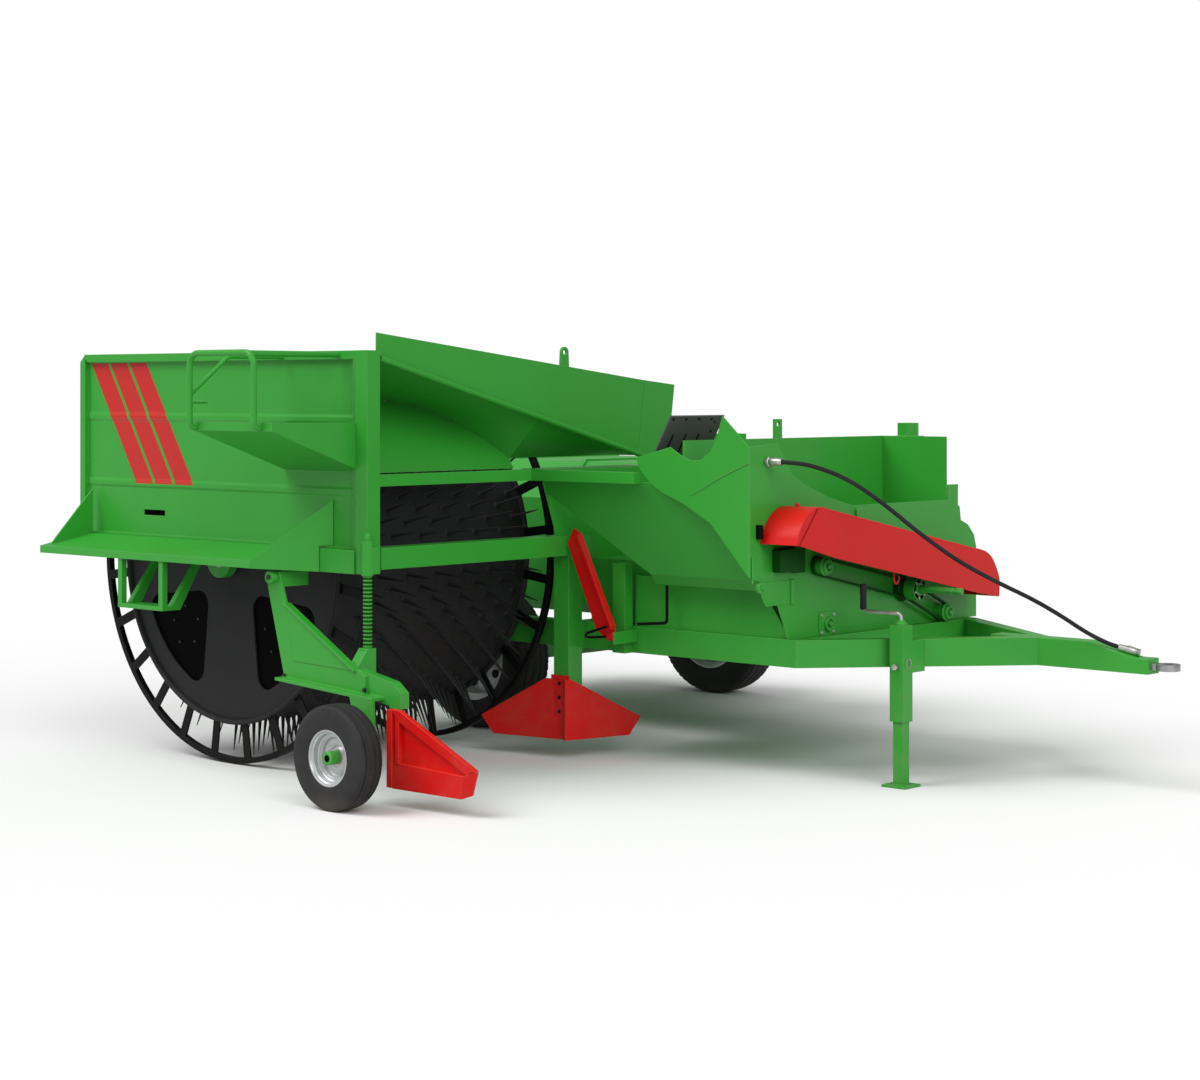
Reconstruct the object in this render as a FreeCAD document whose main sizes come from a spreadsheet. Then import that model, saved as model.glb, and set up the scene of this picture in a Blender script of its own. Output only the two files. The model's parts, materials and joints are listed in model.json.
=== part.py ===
import FreeCAD, Part
import math
import os
import re
import Sketcher
from FreeCAD import Placement, Rotation, Vector

# Towed watermelon harvester, millimetres. X points to the tractor, Y to the machine's left, Z up.
# The rules below are written from a datum on the ground under the right wheel, and every
# sub-part is then moved so that the origin is the middle of the machine's footprint.

SIZES = {
    # overall stations
    "tail_x": -1300, "eye_tip_x": 3910, "tray_edge_y": -2500, "axle_x": -75,
    "fit": 0.05, "seat": 0.3,
    # main wheels
    "wheel_r": 386, "rim_r": 234, "tyre_wide": 246, "right_wheel_y": 5, "left_wheel_y": 2040,
    "groove_deep": 12, "groove_half": 4, "hub_r": 62, "stub_r": 32, "wheel_gap": 40,
    # frame
    "beam_top": 680, "beam_high": 130, "beam_wide": 80, "front_x": 2430, "right_beam_y": -480,
    "left_beam_y": 1040, "beam_gap": 117,
    "outer_beam_y": "=left_wheel_y - tyre_wide / 2 - beam_gap", "mid_x": "=hood_x - 60", "apex_x": 3200,
    "tongue_y": 435, "tongue_wide": 100, "tongue_tip_x": 3780, "tongue_tip_top": 620, "tongue_bend_x": 3470,
    "tongue_low_x": 3700, "tongue_root": 260, "eye_r": 55, "eye_bore": 40, "eye_thick": 30,
    "axle_box": 90,
    # jack
    "jack_x": 2800, "jack_y": -160, "jack_tube": 76, "jack_leg": 54, "jack_play": 0.3,
    "jack_top": 753, "jack_low": 304, "jack_foot": 130, "jack_foot_thick": 12,
    "crank_reach": 215, "crank_r": 9,
    # pick-up drum
    "drum_x": -62, "drum_z": 1014, "ring_r": 1008, "ring_deep": 28, "ring_wide": 30,
    "drum_outer_y": -1805, "drum_inner_y": -535, "end_plate": 10, "shell_r": 800, "shell_wall": 8,
    "spoke_count": 24, "spoke_wide": 46, "window_turn": 45, "window_in": 230,
    "window_out": 690, "window_half_angle": 27,
    "window_round": 70, "spike_long": 190, "spike_r": 11, "spike_tip": 2, "stave_count": 8,
    "rows_in_stave": 10, "spikes_in_row": 6, "spike_start": 140, "spike_pitch": 190,
    "shaft_r": 40, "bearing_r": 90, "bearing_wide": 50,
    # outboard side
    "panel_y": -1900, "panel_wall": 6, "panel_rear_x": -1125, "panel_top": 2030,
    "panel_low": 1110, "panel_fold": 40, "panel_rim": 24,
    "panel_chamfer": 20, "low_swage": 1374, "high_swage": 1710, "swage_proud": 5,
    "post_x": "=hood_x - 10", "post_wide": 80, "bearing_beam_low": 1000,
    "shelf_lip_y": -2220, "shelf_lip_z": 1040, "shelf_wall": 8, "shelf_front_x": 590,
    "gusset_top": 1337, "end_slant": 35.7, "step_low": 780, "step_rear_x": -430,
    "step_front_x": -80, "step_bar": 30,
    "tray_rear_x": 462, "tray_inset": 50, "tray_lip": 40, "tray_low": 1486, "tray_high": 1670,
    "rail_r": 14, "brace_r": 9.5, "brace_knee_y": -2262, "brace_foot_z": 1822,
    "rail_top": 2016, "rail_rear_x": 476, "rail_front_x": 929, "rail_bend": 60,
    "handle_z": 1790, "handle_reach": 100,
    # front of the drum
    "low_rail_z": 1020, "low_rail_high": 100, "high_rail_z": 1400, "high_rail_high": 55,
    "high_rail_wide": 50, "edge_rail_x": 1720,
    "plough_post_y": -550, "plough_post_wide": 100, "corner_post_x": 1380,
    "corner_post_high": 440, "plough_low": 100, "plough_plate": 10, "mount_high": 320,
    "outer_plough_x": 1400, "stow_y": -630, "stow_z": 635, "stow_pin_r": 8,
    # gauge wheel
    "gauge_x": 1320, "gauge_y": "=arm_y - gauge_stand", "gauge_stand": 238, "gauge_r": 234,
    "gauge_wide": 135, "gauge_rim_r": 126,
    "gauge_hub_r": 36, "gauge_stub_r": 16, "arm_y": "=panel_y - arm_stand", "arm_stand": 200,
    "arm_pivot_x": 610, "screw_x": 1120, "screw_top": 1160,
    "thread_r": 18,
    # hood, pan and hopper
    "hood_wall": 6, "hood_x": "=drum_x + guide_r + hood_gap", "hood_gap": 89, "bead_r": 15,
    "hood_left_y": 230, "hood_low_out": "=hood_top_out - hood_lip", "hood_lip": 110,
    "hood_low_in": 1507, "hood_top_out": 2116,
    "hood_top_in": 1900, "eye_y": -583, "lift_bore": 26, "guide_r": "=ring_r + guide_gap",
    "guide_gap": 25, "guide_top": 1815, "guide_bow": 3.3, "pan_low": 1507, "sheet": 6,
    "wall_y": -770, "front_wall_x": 2380, "back_wall_x": 1980, "hopper_top": 1610,
    "hopper_rear_top": 1450, "hopper_left_y": 850, "cap_x": 2100, "cap_r": 60, "cap_high": 67,
    "crusher_top": 1000, "apron_tilt": 20,
    "sieve_top": 1450, "sieve_right_y": 300, "sieve_left_y": 1700, "strap_inset": 110, "strap_wide": 40,
    # drive
    "pto_y": 430, "pto_z": 867, "pto_r": 17.5, "pto_neck_r": 22, "pto_tip_x": 2748, "pto_wheel_r": 38,
    "pto_case_r": 55, "guard_deep": 210, "upper_hub_y": -270, "upper_hub_z": 1015,
    "upper_hub_r": 36, "lower_hub_y": 750, "lower_hub_z": 730, "lower_hub_r": 40,
    "belt_wide": 18, "belt_thick": 9, "belt_stand": 28,
    # hose
    "hose_r": 12.5,
}

# The hose's route, chosen by hand, from its fitting to its coupler.
HOSE_ROUTE = [
    (2426, -645, 1516), (2528, -645, 1516), (2630, -602, 1500), (2740, -480, 1436),
    (2840, -340, 1318), (2935, -210, 1188), (3065, -90, 1060), (3205, 25, 962), (3322, 140, 885),
    (3414, 240, 806), (3478, 322, 738), (3530, 372, 698), (3584, 410, 668.7), (3646, 432, 652.5),
]

DOC = FreeCAD.newDocument("harvester")
SHEET = DOC.addObject("Spreadsheet::Sheet", "Sizes")
for row, alias in enumerate(SIZES, start=1):
    SHEET.set(f"A{row}", alias)
    SHEET.setAlias(f"B{row}", alias)
for row, value in enumerate(SIZES.values(), start=1):
    SHEET.set(f"B{row}", str(value))
DOC.recompute()

WORD = re.compile(r"\b(" + "|".join(sorted(SIZES, key=len, reverse=True)) + r")\b")
MID_X = "(eye_tip_x + tail_x) / 2"
MID_Y = "(left_wheel_y + tyre_wide / 2 + tray_edge_y) / 2"
PLACES = {}
PIECES = []


def bind(thing, prop, rule):
    """Bind one property to a rule written with the sheet's names."""
    thing.setExpression(prop, WORD.sub(r"Sizes.\1", str(rule)))


def size(rule):
    """The present value of a rule, for shapes that are worked out in Python."""
    return float(SHEET.evalExpression(WORD.sub(r"Sizes.\1", str(rule))))


def put(thing, x=0, y=0, z=0, turn=None):
    """Place an object by rules; turn is (axis, angle in degrees)."""
    if turn:
        thing.Placement = Placement(Vector(), Rotation(Vector(*turn[0]), turn[1]))
    PLACES[thing.Name] = (x, y, z)
    for letter, rule in zip("xyz", (x, y, z)):
        bind(thing, f"Placement.Base.{letter}", rule)
    return thing


def piece(label, thing):
    """Name an object as a sub-part and move it from the datum to the machine's origin."""
    thing.Label = label
    x, y, z = PLACES.get(thing.Name, (0, 0, 0))
    bind(thing, "Placement.Base.x", f"{x} - ({MID_X})")
    bind(thing, "Placement.Base.y", f"{y} - ({MID_Y})")
    bind(thing, "Placement.Base.z", z)
    PIECES.append(thing)
    return thing


def block(name, low, span, turn=None):
    """A box from its low corner and its three lengths."""
    box = DOC.addObject("Part::Box", name)
    for prop, rule in zip(("Length", "Width", "Height"), span):
        bind(box, prop, rule)
    return put(box, *low, turn=turn)


TURNS = {"X": ((0, 1, 0), 90), "Y": ((1, 0, 0), -90), "Z": None}


def rod(name, start, radius, length, axis):
    """A cylinder from the middle of its first end along X, Y or Z."""
    bar = DOC.addObject("Part::Cylinder", name)
    bind(bar, "Radius", radius)
    bind(bar, "Height", length)
    return put(bar, *start, turn=TURNS[axis])


def cut(name, base, tool):
    """One solid less another."""
    left = DOC.addObject("Part::Cut", name)
    left.Base = base
    left.Tool = tool
    return left


def join(name, parts):
    """One solid from several that touch."""
    whole = DOC.addObject("Part::MultiFuse", name)
    whole.Shapes = parts
    return whole


def group(name, parts):
    """Like pieces that stand apart, kept in one node."""
    whole = DOC.addObject("Part::Compound", name)
    whole.Links = parts
    return whole


def plane(body, role):
    """One of a body's own origin planes."""
    return next(item for item in body.Origin.OriginFeatures if item.Role == role)


def outline(sketch, points):
    """Draw a closed outline whose corners are bound to rules."""
    spots = [Vector(size(a), size(b), 0) for a, b in points]
    for start, end in zip(spots, spots[1:] + spots[:1]):
        sketch.addGeometry(Part.LineSegment(start, end), False)
    count = len(points)
    for side in range(count):
        sketch.addConstraint(Sketcher.Constraint("Coincident", side, 2, (side + 1) % count, 1))
    for side, (a, b) in enumerate(points):
        for kind, rule, value in (("DistanceX", a, spots[side].x), ("DistanceY", b, spots[side].y)):
            index = sketch.addConstraint(Sketcher.Constraint(kind, side, 1, value))
            bind(sketch, f"Constraints[{index}]", rule)


def flat(name, role, points, start, thick, turn=None, at=(0, 0, 0)):
    """A flat plate or beam: an outline on an origin plane, padded from start by thick.

    XY_Plane outlines are (x, y) and grow up; XZ_Plane outlines are (x, z) and grow to the left;
    YZ_Plane outlines are (y, z) and grow forwards.
    """
    body = DOC.addObject("PartDesign::Body", name)
    sketch = body.newObject("Sketcher::SketchObject", name + "_outline")
    sketch.AttachmentSupport = [(plane(body, role), "")]
    sketch.MapMode = "FlatFace"
    outline(sketch, points)
    offset = f"-({start})" if role == "XZ_Plane" else start
    bind(sketch, "AttachmentOffset.Base.z", offset)
    pad = body.newObject("PartDesign::Pad", name + "_pad")
    pad.Profile = sketch
    pad.Reversed = role == "XZ_Plane"
    bind(pad, "Length", thick)
    return put(body, *at, turn=turn)


def lathe(name, role, points, at):
    """A turned piece: an outline (along, radius) revolved about the sketch's own long axis."""
    body = DOC.addObject("PartDesign::Body", name)
    sketch = body.newObject("Sketcher::SketchObject", name + "_outline")
    sketch.AttachmentSupport = [(plane(body, role), "")]
    sketch.MapMode = "FlatFace"
    outline(sketch, points)
    turned = body.newObject("PartDesign::Revolution", name + "_turned")
    turned.Profile = sketch
    turned.ReferenceAxis = (sketch, ["H_Axis"])
    turned.Angle = 360
    return put(body, *at)


def computed(name, shape):
    """A sub-part whose shape is worked out with Part's own functions."""
    feature = DOC.addObject("Part::Feature", name)
    feature.Shape = shape
    return put(feature)


def tube_along(points, radius, bends=None):
    """A round bar along straight runs joined by tangent arcs.

    With no bends given, each arc is as large as its two runs allow, and its radius is printed.
    """
    spots = [Vector(*spot) for spot in points]
    bends = bends or [None] * (len(points) - 2)
    edges = []
    last = spots[0]
    for before, corner, after, bend in zip(spots, spots[1:], spots[2:], bends):
        into = (corner - before).normalize()
        out = (after - corner).normalize()
        half = into.getAngle(out) / 2
        run = min((corner - before).Length, (after - corner).Length)
        arc = bend or 0.45 * run / math.tan(half)
        if not bend:
            print(f"bend {arc:.0f} mm, run {run:.0f} mm")
        start = corner - into * (arc * math.tan(half))
        end = corner + out * (arc * math.tan(half))
        middle = corner + (out - into).normalize() * (arc / math.cos(half) - arc)
        edges += [Part.LineSegment(last, start).toShape(), Part.Arc(start, middle, end).toShape()]
        last = end
    edges.append(Part.LineSegment(last, spots[-1]).toShape())
    path = Part.Wire(edges)
    ring = Part.Wire(Part.makeCircle(radius, spots[0], spots[1] - spots[0]))
    return path.makePipeShell([ring], True, False)


# ---------------------------------------------------------------- frame

def frame_beams():
    """Ladder frame of box beams, with an A-frame that meets at the tongue."""
    low = "beam_top - beam_high"
    inner = "right_beam_y + beam_wide"
    run = "front_x - beam_wide - tail_x"
    piece("side_beams", group("side_beams", [
        block("right_beam", ("tail_x", "right_beam_y", low), (run, "beam_wide", "beam_high")),
        block("left_beam", ("tail_x", "left_beam_y - beam_wide", low),
              (run, "beam_wide", "beam_high")),
        block("outer_beam", ("tail_x + beam_wide", "outer_beam_y - beam_wide", low),
              ("mid_x - tail_x - beam_wide", "beam_wide", "beam_high")),
    ]))
    gap = f"left_beam_y - beam_wide - ({inner})"
    reach = "outer_beam_y - left_beam_y"
    piece("cross_beams", group("cross_beams", [
        block("front_cross", ("front_x - beam_wide", "right_beam_y", low),
              ("beam_wide", "left_beam_y - right_beam_y", "beam_high")),
        block("middle_cross", ("mid_x", inner, low), ("beam_wide", gap, "beam_high")),
        block("rear_cross", ("tail_x", inner, low), ("beam_wide", gap, "beam_high")),
        block("outer_middle", ("mid_x", "left_beam_y", low), ("beam_wide", reach, "beam_high")),
        block("outer_rear", ("tail_x", "left_beam_y", low), ("beam_wide", reach, "beam_high")),
    ]))
    cheek = "tongue_wide / 2"
    slope = "beam_wide * 1.32"
    piece("drawbar_beams", group("drawbar_beams", [
        flat("drawbar_right", "XY_Plane",
             [("front_x", "right_beam_y"), ("apex_x", f"tongue_y - {cheek}"),
              (f"apex_x - {slope}", f"tongue_y - {cheek}"),
              ("front_x", f"right_beam_y + {slope}")], low, "beam_high"),
        flat("drawbar_left", "XY_Plane",
             [("front_x", "left_beam_y"), ("front_x", f"left_beam_y - {slope}"),
              (f"apex_x - {slope}", f"tongue_y + {cheek}"), ("apex_x", f"tongue_y + {cheek}")],
             low, "beam_high"),
    ]))
    piece("tongue", flat("tongue", "XZ_Plane",
                         [("apex_x - tongue_root", low), ("tongue_tip_x", low),
                          ("tongue_tip_x", "tongue_tip_top"),
                          ("tongue_low_x", "tongue_tip_top"),
                          ("tongue_bend_x", "beam_top"), ("apex_x - tongue_root", "beam_top")],
                         f"tongue_y - {cheek}", "tongue_wide"))


def tow_eye():
    """Flat ring on a square shank, welded to the end of the tongue."""
    low = "beam_top - beam_high + 20"
    centre = "eye_tip_x - eye_r"
    ring = rod("eye_ring", (centre, "tongue_y", low), "eye_r", "eye_thick", "Z")
    shank = block("eye_shank", ("tongue_tip_x", "tongue_y - eye_thick", low),
                  (f"{centre} - tongue_tip_x", "eye_thick * 2", "eye_thick"))
    bore = rod("eye_hole", (centre, "tongue_y", f"{low} - 1"), "eye_bore / 2", "eye_thick + 2", "Z")
    piece("tow_eye", cut("tow_eye", join("eye_body", [ring, shank]), bore))


def axle():
    """Cross axle: a box tube under the beams with a turned stub through each wheel."""
    low = "wheel_r - axle_box / 2"
    lift = "beam_top - beam_high"
    inner_y = "right_wheel_y + tyre_wide / 2 + wheel_gap"
    outer_y = "left_wheel_y - tyre_wide / 2 - wheel_gap"
    side = "axle_x - axle_box / 2"
    piece("axle_beam", join("axle_beam", [
        block("axle_tube", (side, inner_y, low), ("axle_box", f"{outer_y} - ({inner_y})", "axle_box")),
        rod("left_stub", ("axle_x", outer_y, "wheel_r"), "stub_r",
            f"left_wheel_y + tyre_wide / 2 - 20 - ({outer_y})", "Y"),
        rod("right_stub", ("axle_x", "right_beam_y + beam_wide / 2", "wheel_r"), "stub_r",
            f"{inner_y} - right_beam_y - beam_wide / 2", "Y"),
        block("right_hanger", (side, "right_beam_y + beam_wide / 2", low),
              ("axle_box", "beam_wide / 2", f"{lift} - ({low})")),
        block("left_hanger", (side, "left_beam_y - beam_wide", "wheel_r"),
              ("axle_box", "beam_wide", f"{lift} - wheel_r")),
        block("outer_hanger", (side, "outer_beam_y - beam_wide", "wheel_r"),
              ("axle_box", "beam_wide", f"{lift} - wheel_r")),
    ]))


def wheel(name, radius, rim, wide, at, bore, hub, ribs):
    """Ribbed tyre on a dished pressed rim whose hub runs on a stub axle."""
    half = f"{wide} / 2"
    groove = [f"({index} - ({ribs} - 1) / 2) * {wide} * 0.2" for index in range(ribs)]
    tread = []
    for middle in groove:
        tread += [(f"{middle} - groove_half", radius), (f"{middle} - groove_half", f"{radius} - groove_deep"),
                  (f"{middle} + groove_half", f"{radius} - groove_deep"),
                  (f"{middle} + groove_half", radius)]
    section = f"({radius} - {rim})"
    left = [(f"-{half} * 0.9", rim), (f"-{half}", f"{rim} + {section} * 0.3"),
            (f"-{half}", f"{rim} + {section} * 0.6"), (f"-{half} * 0.93", f"{radius} - {section} * 0.14"),
            (f"-{half} * 0.8", f"{radius} - {section} * 0.02")]
    right = [(a[1:] if a.startswith("-") else a, b) for a, b in reversed(left)]
    piece(name + "_tyre", lathe(name + "_tyre", "YZ_Plane", left + tread + right, at))
    well = f"{rim} * 0.86"
    piece(name + "_rim", lathe(name + "_rim", "YZ_Plane", [
        (f"-{half} * 0.88", rim), (f"-{half} * 0.88", f"{rim} - 7"), (f"-{half} * 0.72", well),
        (f"-{half} * 0.3", well), (f"-{half} * 0.42", f"{hub} * 1.35"), (f"-{half} * 0.42", hub),
        (f"-{half} * 0.8", f"{hub} * 0.96"), (f"-{half} * 0.8", bore), (f"{half} * 0.7", bore),
        (f"{half} * 0.7", hub), (f"-{half} * 0.34", hub), (f"-{half} * 0.34", f"{hub} * 1.35"),
        (f"-{half} * 0.22", f"{well} - 0.01"), (f"{half} * 0.72", well), (f"{half} * 0.88", f"{rim} - 7"),
        (f"{half} * 0.88", rim)], at))


def wheels():
    bore = "stub_r + fit"
    for name, side in (("right_wheel", "right_wheel_y"), ("left_wheel", "left_wheel_y")):
        wheel(name, "wheel_r", "rim_r", "tyre_wide", ("axle_x", side, "wheel_r"), bore, "hub_r", 4)
    wheel("gauge_wheel", "gauge_r", "gauge_rim_r", "gauge_wide", ("gauge_x", "gauge_y", "gauge_r"),
          "gauge_stub_r + fit", "gauge_hub_r", 3)


# ---------------------------------------------------------------- pick-up drum

def drum_end(name, side, ring_start):
    """Square bar ring, its flat spokes and the windowed disc, welded into one piece."""
    wide, deep, bar = size("end_plate"), size("ring_deep"), size("ring_wide")
    outer, disc = size("ring_r"), size("shell_r")
    along = Vector(0, 1, 0)
    foot = Vector(0, size(ring_start), 0)
    ring = Part.makeCylinder(outer, bar, foot, along)
    ring = ring.cut(Part.makeCylinder(outer - deep, bar, foot, along))
    half = size("spoke_wide") / 2
    count = int(size("spoke_count"))
    spokes = []
    for index in range(count):
        spoke = Part.makeBox(2 * half, wide, outer - disc, Vector(-half, 0, disc - deep / 2))
        spoke.rotate(Vector(), along, (index + 0.5) * 360 / count)
        spokes.append(spoke)
    plate = Part.makeCylinder(disc, wide, Vector(), along)
    plate = plate.cut(Part.makeCylinder(size("shaft_r"), wide, Vector(), along))
    window = drum_window(wide)
    for index in range(4):
        hole = window.copy()
        hole.rotate(Vector(), along, size("window_turn") + index * 90)
        plate = plate.cut(hole)
    whole = ring.multiFuse(spokes + [plate]).removeSplitter()
    end = computed(name, whole)
    return put(end, "drum_x", side, "drum_z")


def drum_window(wide):
    """Rounded triangle with an arched outer side, as a solid through the disc."""
    low, high = size("window_in"), size("window_out")
    spread = math.radians(size("window_half_angle"))
    left = Vector(-high * math.sin(spread), 0, -high * math.cos(spread))
    right = Vector(-left.x, 0, left.z)
    tip = Vector(0, 0, -low)
    arch = Part.Arc(left, Vector(0, 0, -high), right).toShape()
    edges = [Part.LineSegment(tip, left).toShape(), arch, Part.LineSegment(right, tip).toShape()]
    solid = Part.Face(Part.Wire(edges)).extrude(Vector(0, wide, 0))
    corners = [edge for edge in solid.Edges if abs(edge.tangentAt(edge.FirstParameter).y) > 0.99]
    return solid.makeFillet(size("window_round"), corners)


def spiked_shell():
    """Drum skin in curved staves a hair apart, each with rows of spikes grown out of it."""
    wide = size("drum_inner_y - drum_outer_y - end_plate * 2")
    radius, wall = size("shell_r"), size("shell_wall")
    count, rows, in_row = (int(size(name)) for name in ("stave_count", "rows_in_stave", "spikes_in_row"))
    sweep = 360 / count
    seam = math.degrees(size("seat") / radius)
    start, pitch = size("spike_start"), size("spike_pitch")
    long = size("spike_long") + wall / 2
    skin = Part.makeCylinder(radius, wide, Vector(), Vector(0, 0, 1), sweep - seam)
    skin = skin.cut(Part.makeCylinder(radius - wall, wide))
    skin.rotate(Vector(), Vector(0, 0, 1), -0.5 / rows * sweep)
    spikes = []
    for row in range(rows):
        angle = math.radians(row * sweep / rows)
        out = Vector(math.cos(angle), math.sin(angle), 0)
        stagger = 0.5 * (row % 2)
        for index in range(in_row):
            foot = out * (radius - wall / 2) + Vector(0, 0, start + (index + stagger) * pitch)
            spikes.append(Part.makeCone(size("spike_r"), size("spike_tip"), long, foot, out))
    stave = skin.multiFuse(spikes)
    staves = [stave.rotated(Vector(), Vector(0, 0, 1), index * sweep) for index in range(count)]
    shell = Part.makeCompound(staves)
    shell.rotate(Vector(), Vector(1, 0, 0), -90)
    return shell


def drum():
    piece("drum_end_rings", group("drum_end_rings", [
        drum_end("outer_ring", "drum_outer_y", "0"),
        drum_end("inner_ring", "drum_inner_y - end_plate", "end_plate - ring_wide")]))
    shell = computed("drum_shell", spiked_shell())
    piece("drum_shell", put(shell, "drum_x", "drum_outer_y + end_plate", "drum_z"))
    start = "panel_y + 22"
    piece("drum_shaft", rod("drum_shaft", ("drum_x", start, "drum_z"), "shaft_r",
                            f"right_beam_y + beam_wide - ({start})", "Y"))


def drum_bearings():
    """Outboard bearing on the panel's lower beam, inboard bearing on a stand on the right beam."""
    outer_y = "panel_y + 20"
    inner_y = "right_beam_y + 10"
    wide = "bearing_wide"
    bore = "shaft_r + fit"
    outer = cut("outer_bearing", rod("outer_case", ("drum_x", outer_y, "drum_z"), "bearing_r",
                                     wide, "Y"),
                rod("outer_bore", ("drum_x", f"{outer_y} - 1", "drum_z"), bore, f"{wide} + 2", "Y"))
    stand = join("inner_stand", [
        rod("inner_case", ("drum_x", inner_y, "drum_z"), "bearing_r", wide, "Y"),
        flat("inner_leg", "XZ_Plane", [
            ("drum_x - bearing_r * 2", "beam_top"), ("drum_x + bearing_r * 2", "beam_top"),
            ("drum_x + bearing_r * 0.9", "drum_z"), ("drum_x - bearing_r * 0.9", "drum_z")],
            inner_y, wide)])
    inner = cut("inner_bearing", stand, rod("inner_bore", ("drum_x", f"{inner_y} - 1", "drum_z"),
                                            bore, f"{wide} + 2", "Y"))
    piece("drum_bearings", group("drum_bearings", [outer, inner]))


# ---------------------------------------------------------------- outboard side

def side_panel():
    """Swaged outer panel in a folded frame, its front post and the beam along its foot."""
    face = "panel_y - panel_wall"
    front = "post_x - post_wide / 2"
    fold = "panel_fold"
    corners = [("panel_rear_x", "panel_low"), (front, "panel_low"), (front, "panel_top"),
               (f"panel_rear_x + {fold}", "panel_top"), ("panel_rear_x", f"panel_top - {fold}")]
    sheet = flat("panel_sheet", "XZ_Plane", corners, f"{face} - panel_rim", "panel_rim + panel_wall")
    rise = f"{fold} + panel_chamfer"
    recess = flat("panel_recess", "XZ_Plane", [
        (f"panel_rear_x + {fold}", f"panel_low + {fold} / 4"),
        (f"{front} - {fold}", f"panel_low + {fold} / 4"),
        (f"{front} - {fold}", f"panel_top - {fold}"), (f"panel_rear_x + {rise}", f"panel_top - {fold}"),
        (f"panel_rear_x + {fold}", f"panel_top - {rise}")], f"{face} - panel_rim - 1", "panel_rim + 1")
    swages = [flat(f"panel_swage_{index}", "YZ_Plane",
                   [(f"{face} + 1", f"{middle} - 26"), (f"{face} - swage_proud", f"{middle} - 10"),
                    (f"{face} - swage_proud", f"{middle} + 10"), (f"{face} + 1", f"{middle} + 26")],
                   f"panel_rear_x + {fold} / 2", f"{front} - panel_rear_x - {fold}")
              for index, middle in enumerate(("low_swage", "high_swage"))]
    body = join("panel_body", [cut("panel_tray", sheet, recess)] + swages)
    slot = block("panel_slot", ("-620", f"{face} - 2", "1215"), ("170", "panel_wall + 4", "28"))
    piece("side_panel", cut("side_panel", body, slot))
    beam = block("bearing_beam_bar", ("panel_rear_x", "panel_y - 60", "bearing_beam_low"),
                 (f"{front} - panel_rear_x", "80", "panel_low - bearing_beam_low"))
    bracket = block("arm_bracket", ("arm_pivot_x - 40", "arm_y + 12", "bearing_beam_low - 70"),
                    ("80", "panel_y - arm_y - 32", "70"))
    piece("bearing_beam", join("bearing_beam", [beam, bracket]))
    post = block("post_bar", (front, "panel_y - 50", "bearing_beam_low"),
                 ("post_wide", "post_wide", "panel_top - bearing_beam_low"))
    hole = block("post_hole", (f"{front} + 5", "panel_y - 45", "panel_top - 200"),
                 ("post_wide - 10", "post_wide - 10", "201"))
    piece("panel_post", cut("panel_post", post, hole))


def shelf():
    """Walkway shelf: a sloping floor with a lip, a rear gusset and a slanted plate in front."""
    inner_y = "panel_y - 60"
    rear = "panel_rear_x + 60"
    floor = flat("shelf_floor", "YZ_Plane",
                 [("shelf_lip_y", "shelf_lip_z - 20"), ("shelf_lip_y", "shelf_lip_z + 17"),
                  ("shelf_lip_y + shelf_wall", "shelf_lip_z + 17"), (inner_y, "panel_low"),
                  (inner_y, "panel_low - shelf_wall * 2"),
                  ("shelf_lip_y + shelf_wall", "shelf_lip_z - 20")],
                 rear, f"shelf_front_x - ({rear})")
    gusset = flat("shelf_gusset", "YZ_Plane",
                  [("shelf_lip_y + 20", "shelf_lip_z + 10"), ("panel_y - 30", "gusset_top"),
                   ("panel_y - 30", "panel_low"), (inner_y, "panel_low"),
                   (inner_y, "panel_low - 10")], "panel_rear_x + 100", "shelf_wall")
    # The front end plate slants forwards from the lip to the panel.
    turn = SIZES["end_slant"]
    run = f"(panel_y - panel_wall - shelf_lip_y) / cos({turn})"
    beam_run = f"({inner_y} - shelf_lip_y) / cos({turn})"
    end = flat("shelf_end", "YZ_Plane",
               [("0", "shelf_lip_z - 20"), ("0", "shelf_lip_z + 17"), (run, "gusset_top"),
                (run, "panel_low + panel_fold / 4 + 1"), (beam_run, "panel_low + panel_fold / 4 + 1"),
                (beam_run, "bearing_beam_low")],
               "0", "shelf_wall", turn=((0, 0, 1), -turn), at=("shelf_front_x - shelf_wall",
                                                              "shelf_lip_y", "0"))
    floor_end = flat("shelf_floor_end", "XY_Plane",
                     [("shelf_front_x - 10", "shelf_lip_y + shelf_wall"),
                      ("shelf_front_x", "shelf_lip_y + shelf_wall"),
                      (f"shelf_front_x + ({inner_y} - shelf_lip_y - shelf_wall) * tan({turn})", inner_y),
                      ("shelf_front_x - 10", inner_y)], "shelf_lip_z + 4", "shelf_wall")
    piece("shelf", join("shelf", [floor, gusset, end, floor_end]))


def step():
    """Two-legged step under the shelf, braced back to the bearing beam."""
    edge = "shelf_lip_y + 10"
    legs = [block(f"step_leg_{index}", (x, edge, "step_low"),
                  ("step_bar", "step_bar", "shelf_lip_z - 20 - step_low"))
            for index, x in enumerate(("step_rear_x", "step_front_x - step_bar"))]
    tread = block("step_tread", ("step_rear_x", edge, "step_low"),
                  ("step_front_x - step_rear_x", "110", "20"))
    braces = [flat(f"step_brace_{index}", "YZ_Plane",
                   [(f"{edge} + 40", "step_low"), (f"{edge} + 110", "step_low"),
                    ("panel_y - 60", "bearing_beam_low + 20"),
                    ("panel_y - 60", "bearing_beam_low + 60")], x, "step_bar")
              for index, x in enumerate(("step_rear_x", "step_front_x - step_bar"))]
    piece("step_frame", join("step_frame", legs + [tread] + braces))


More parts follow.
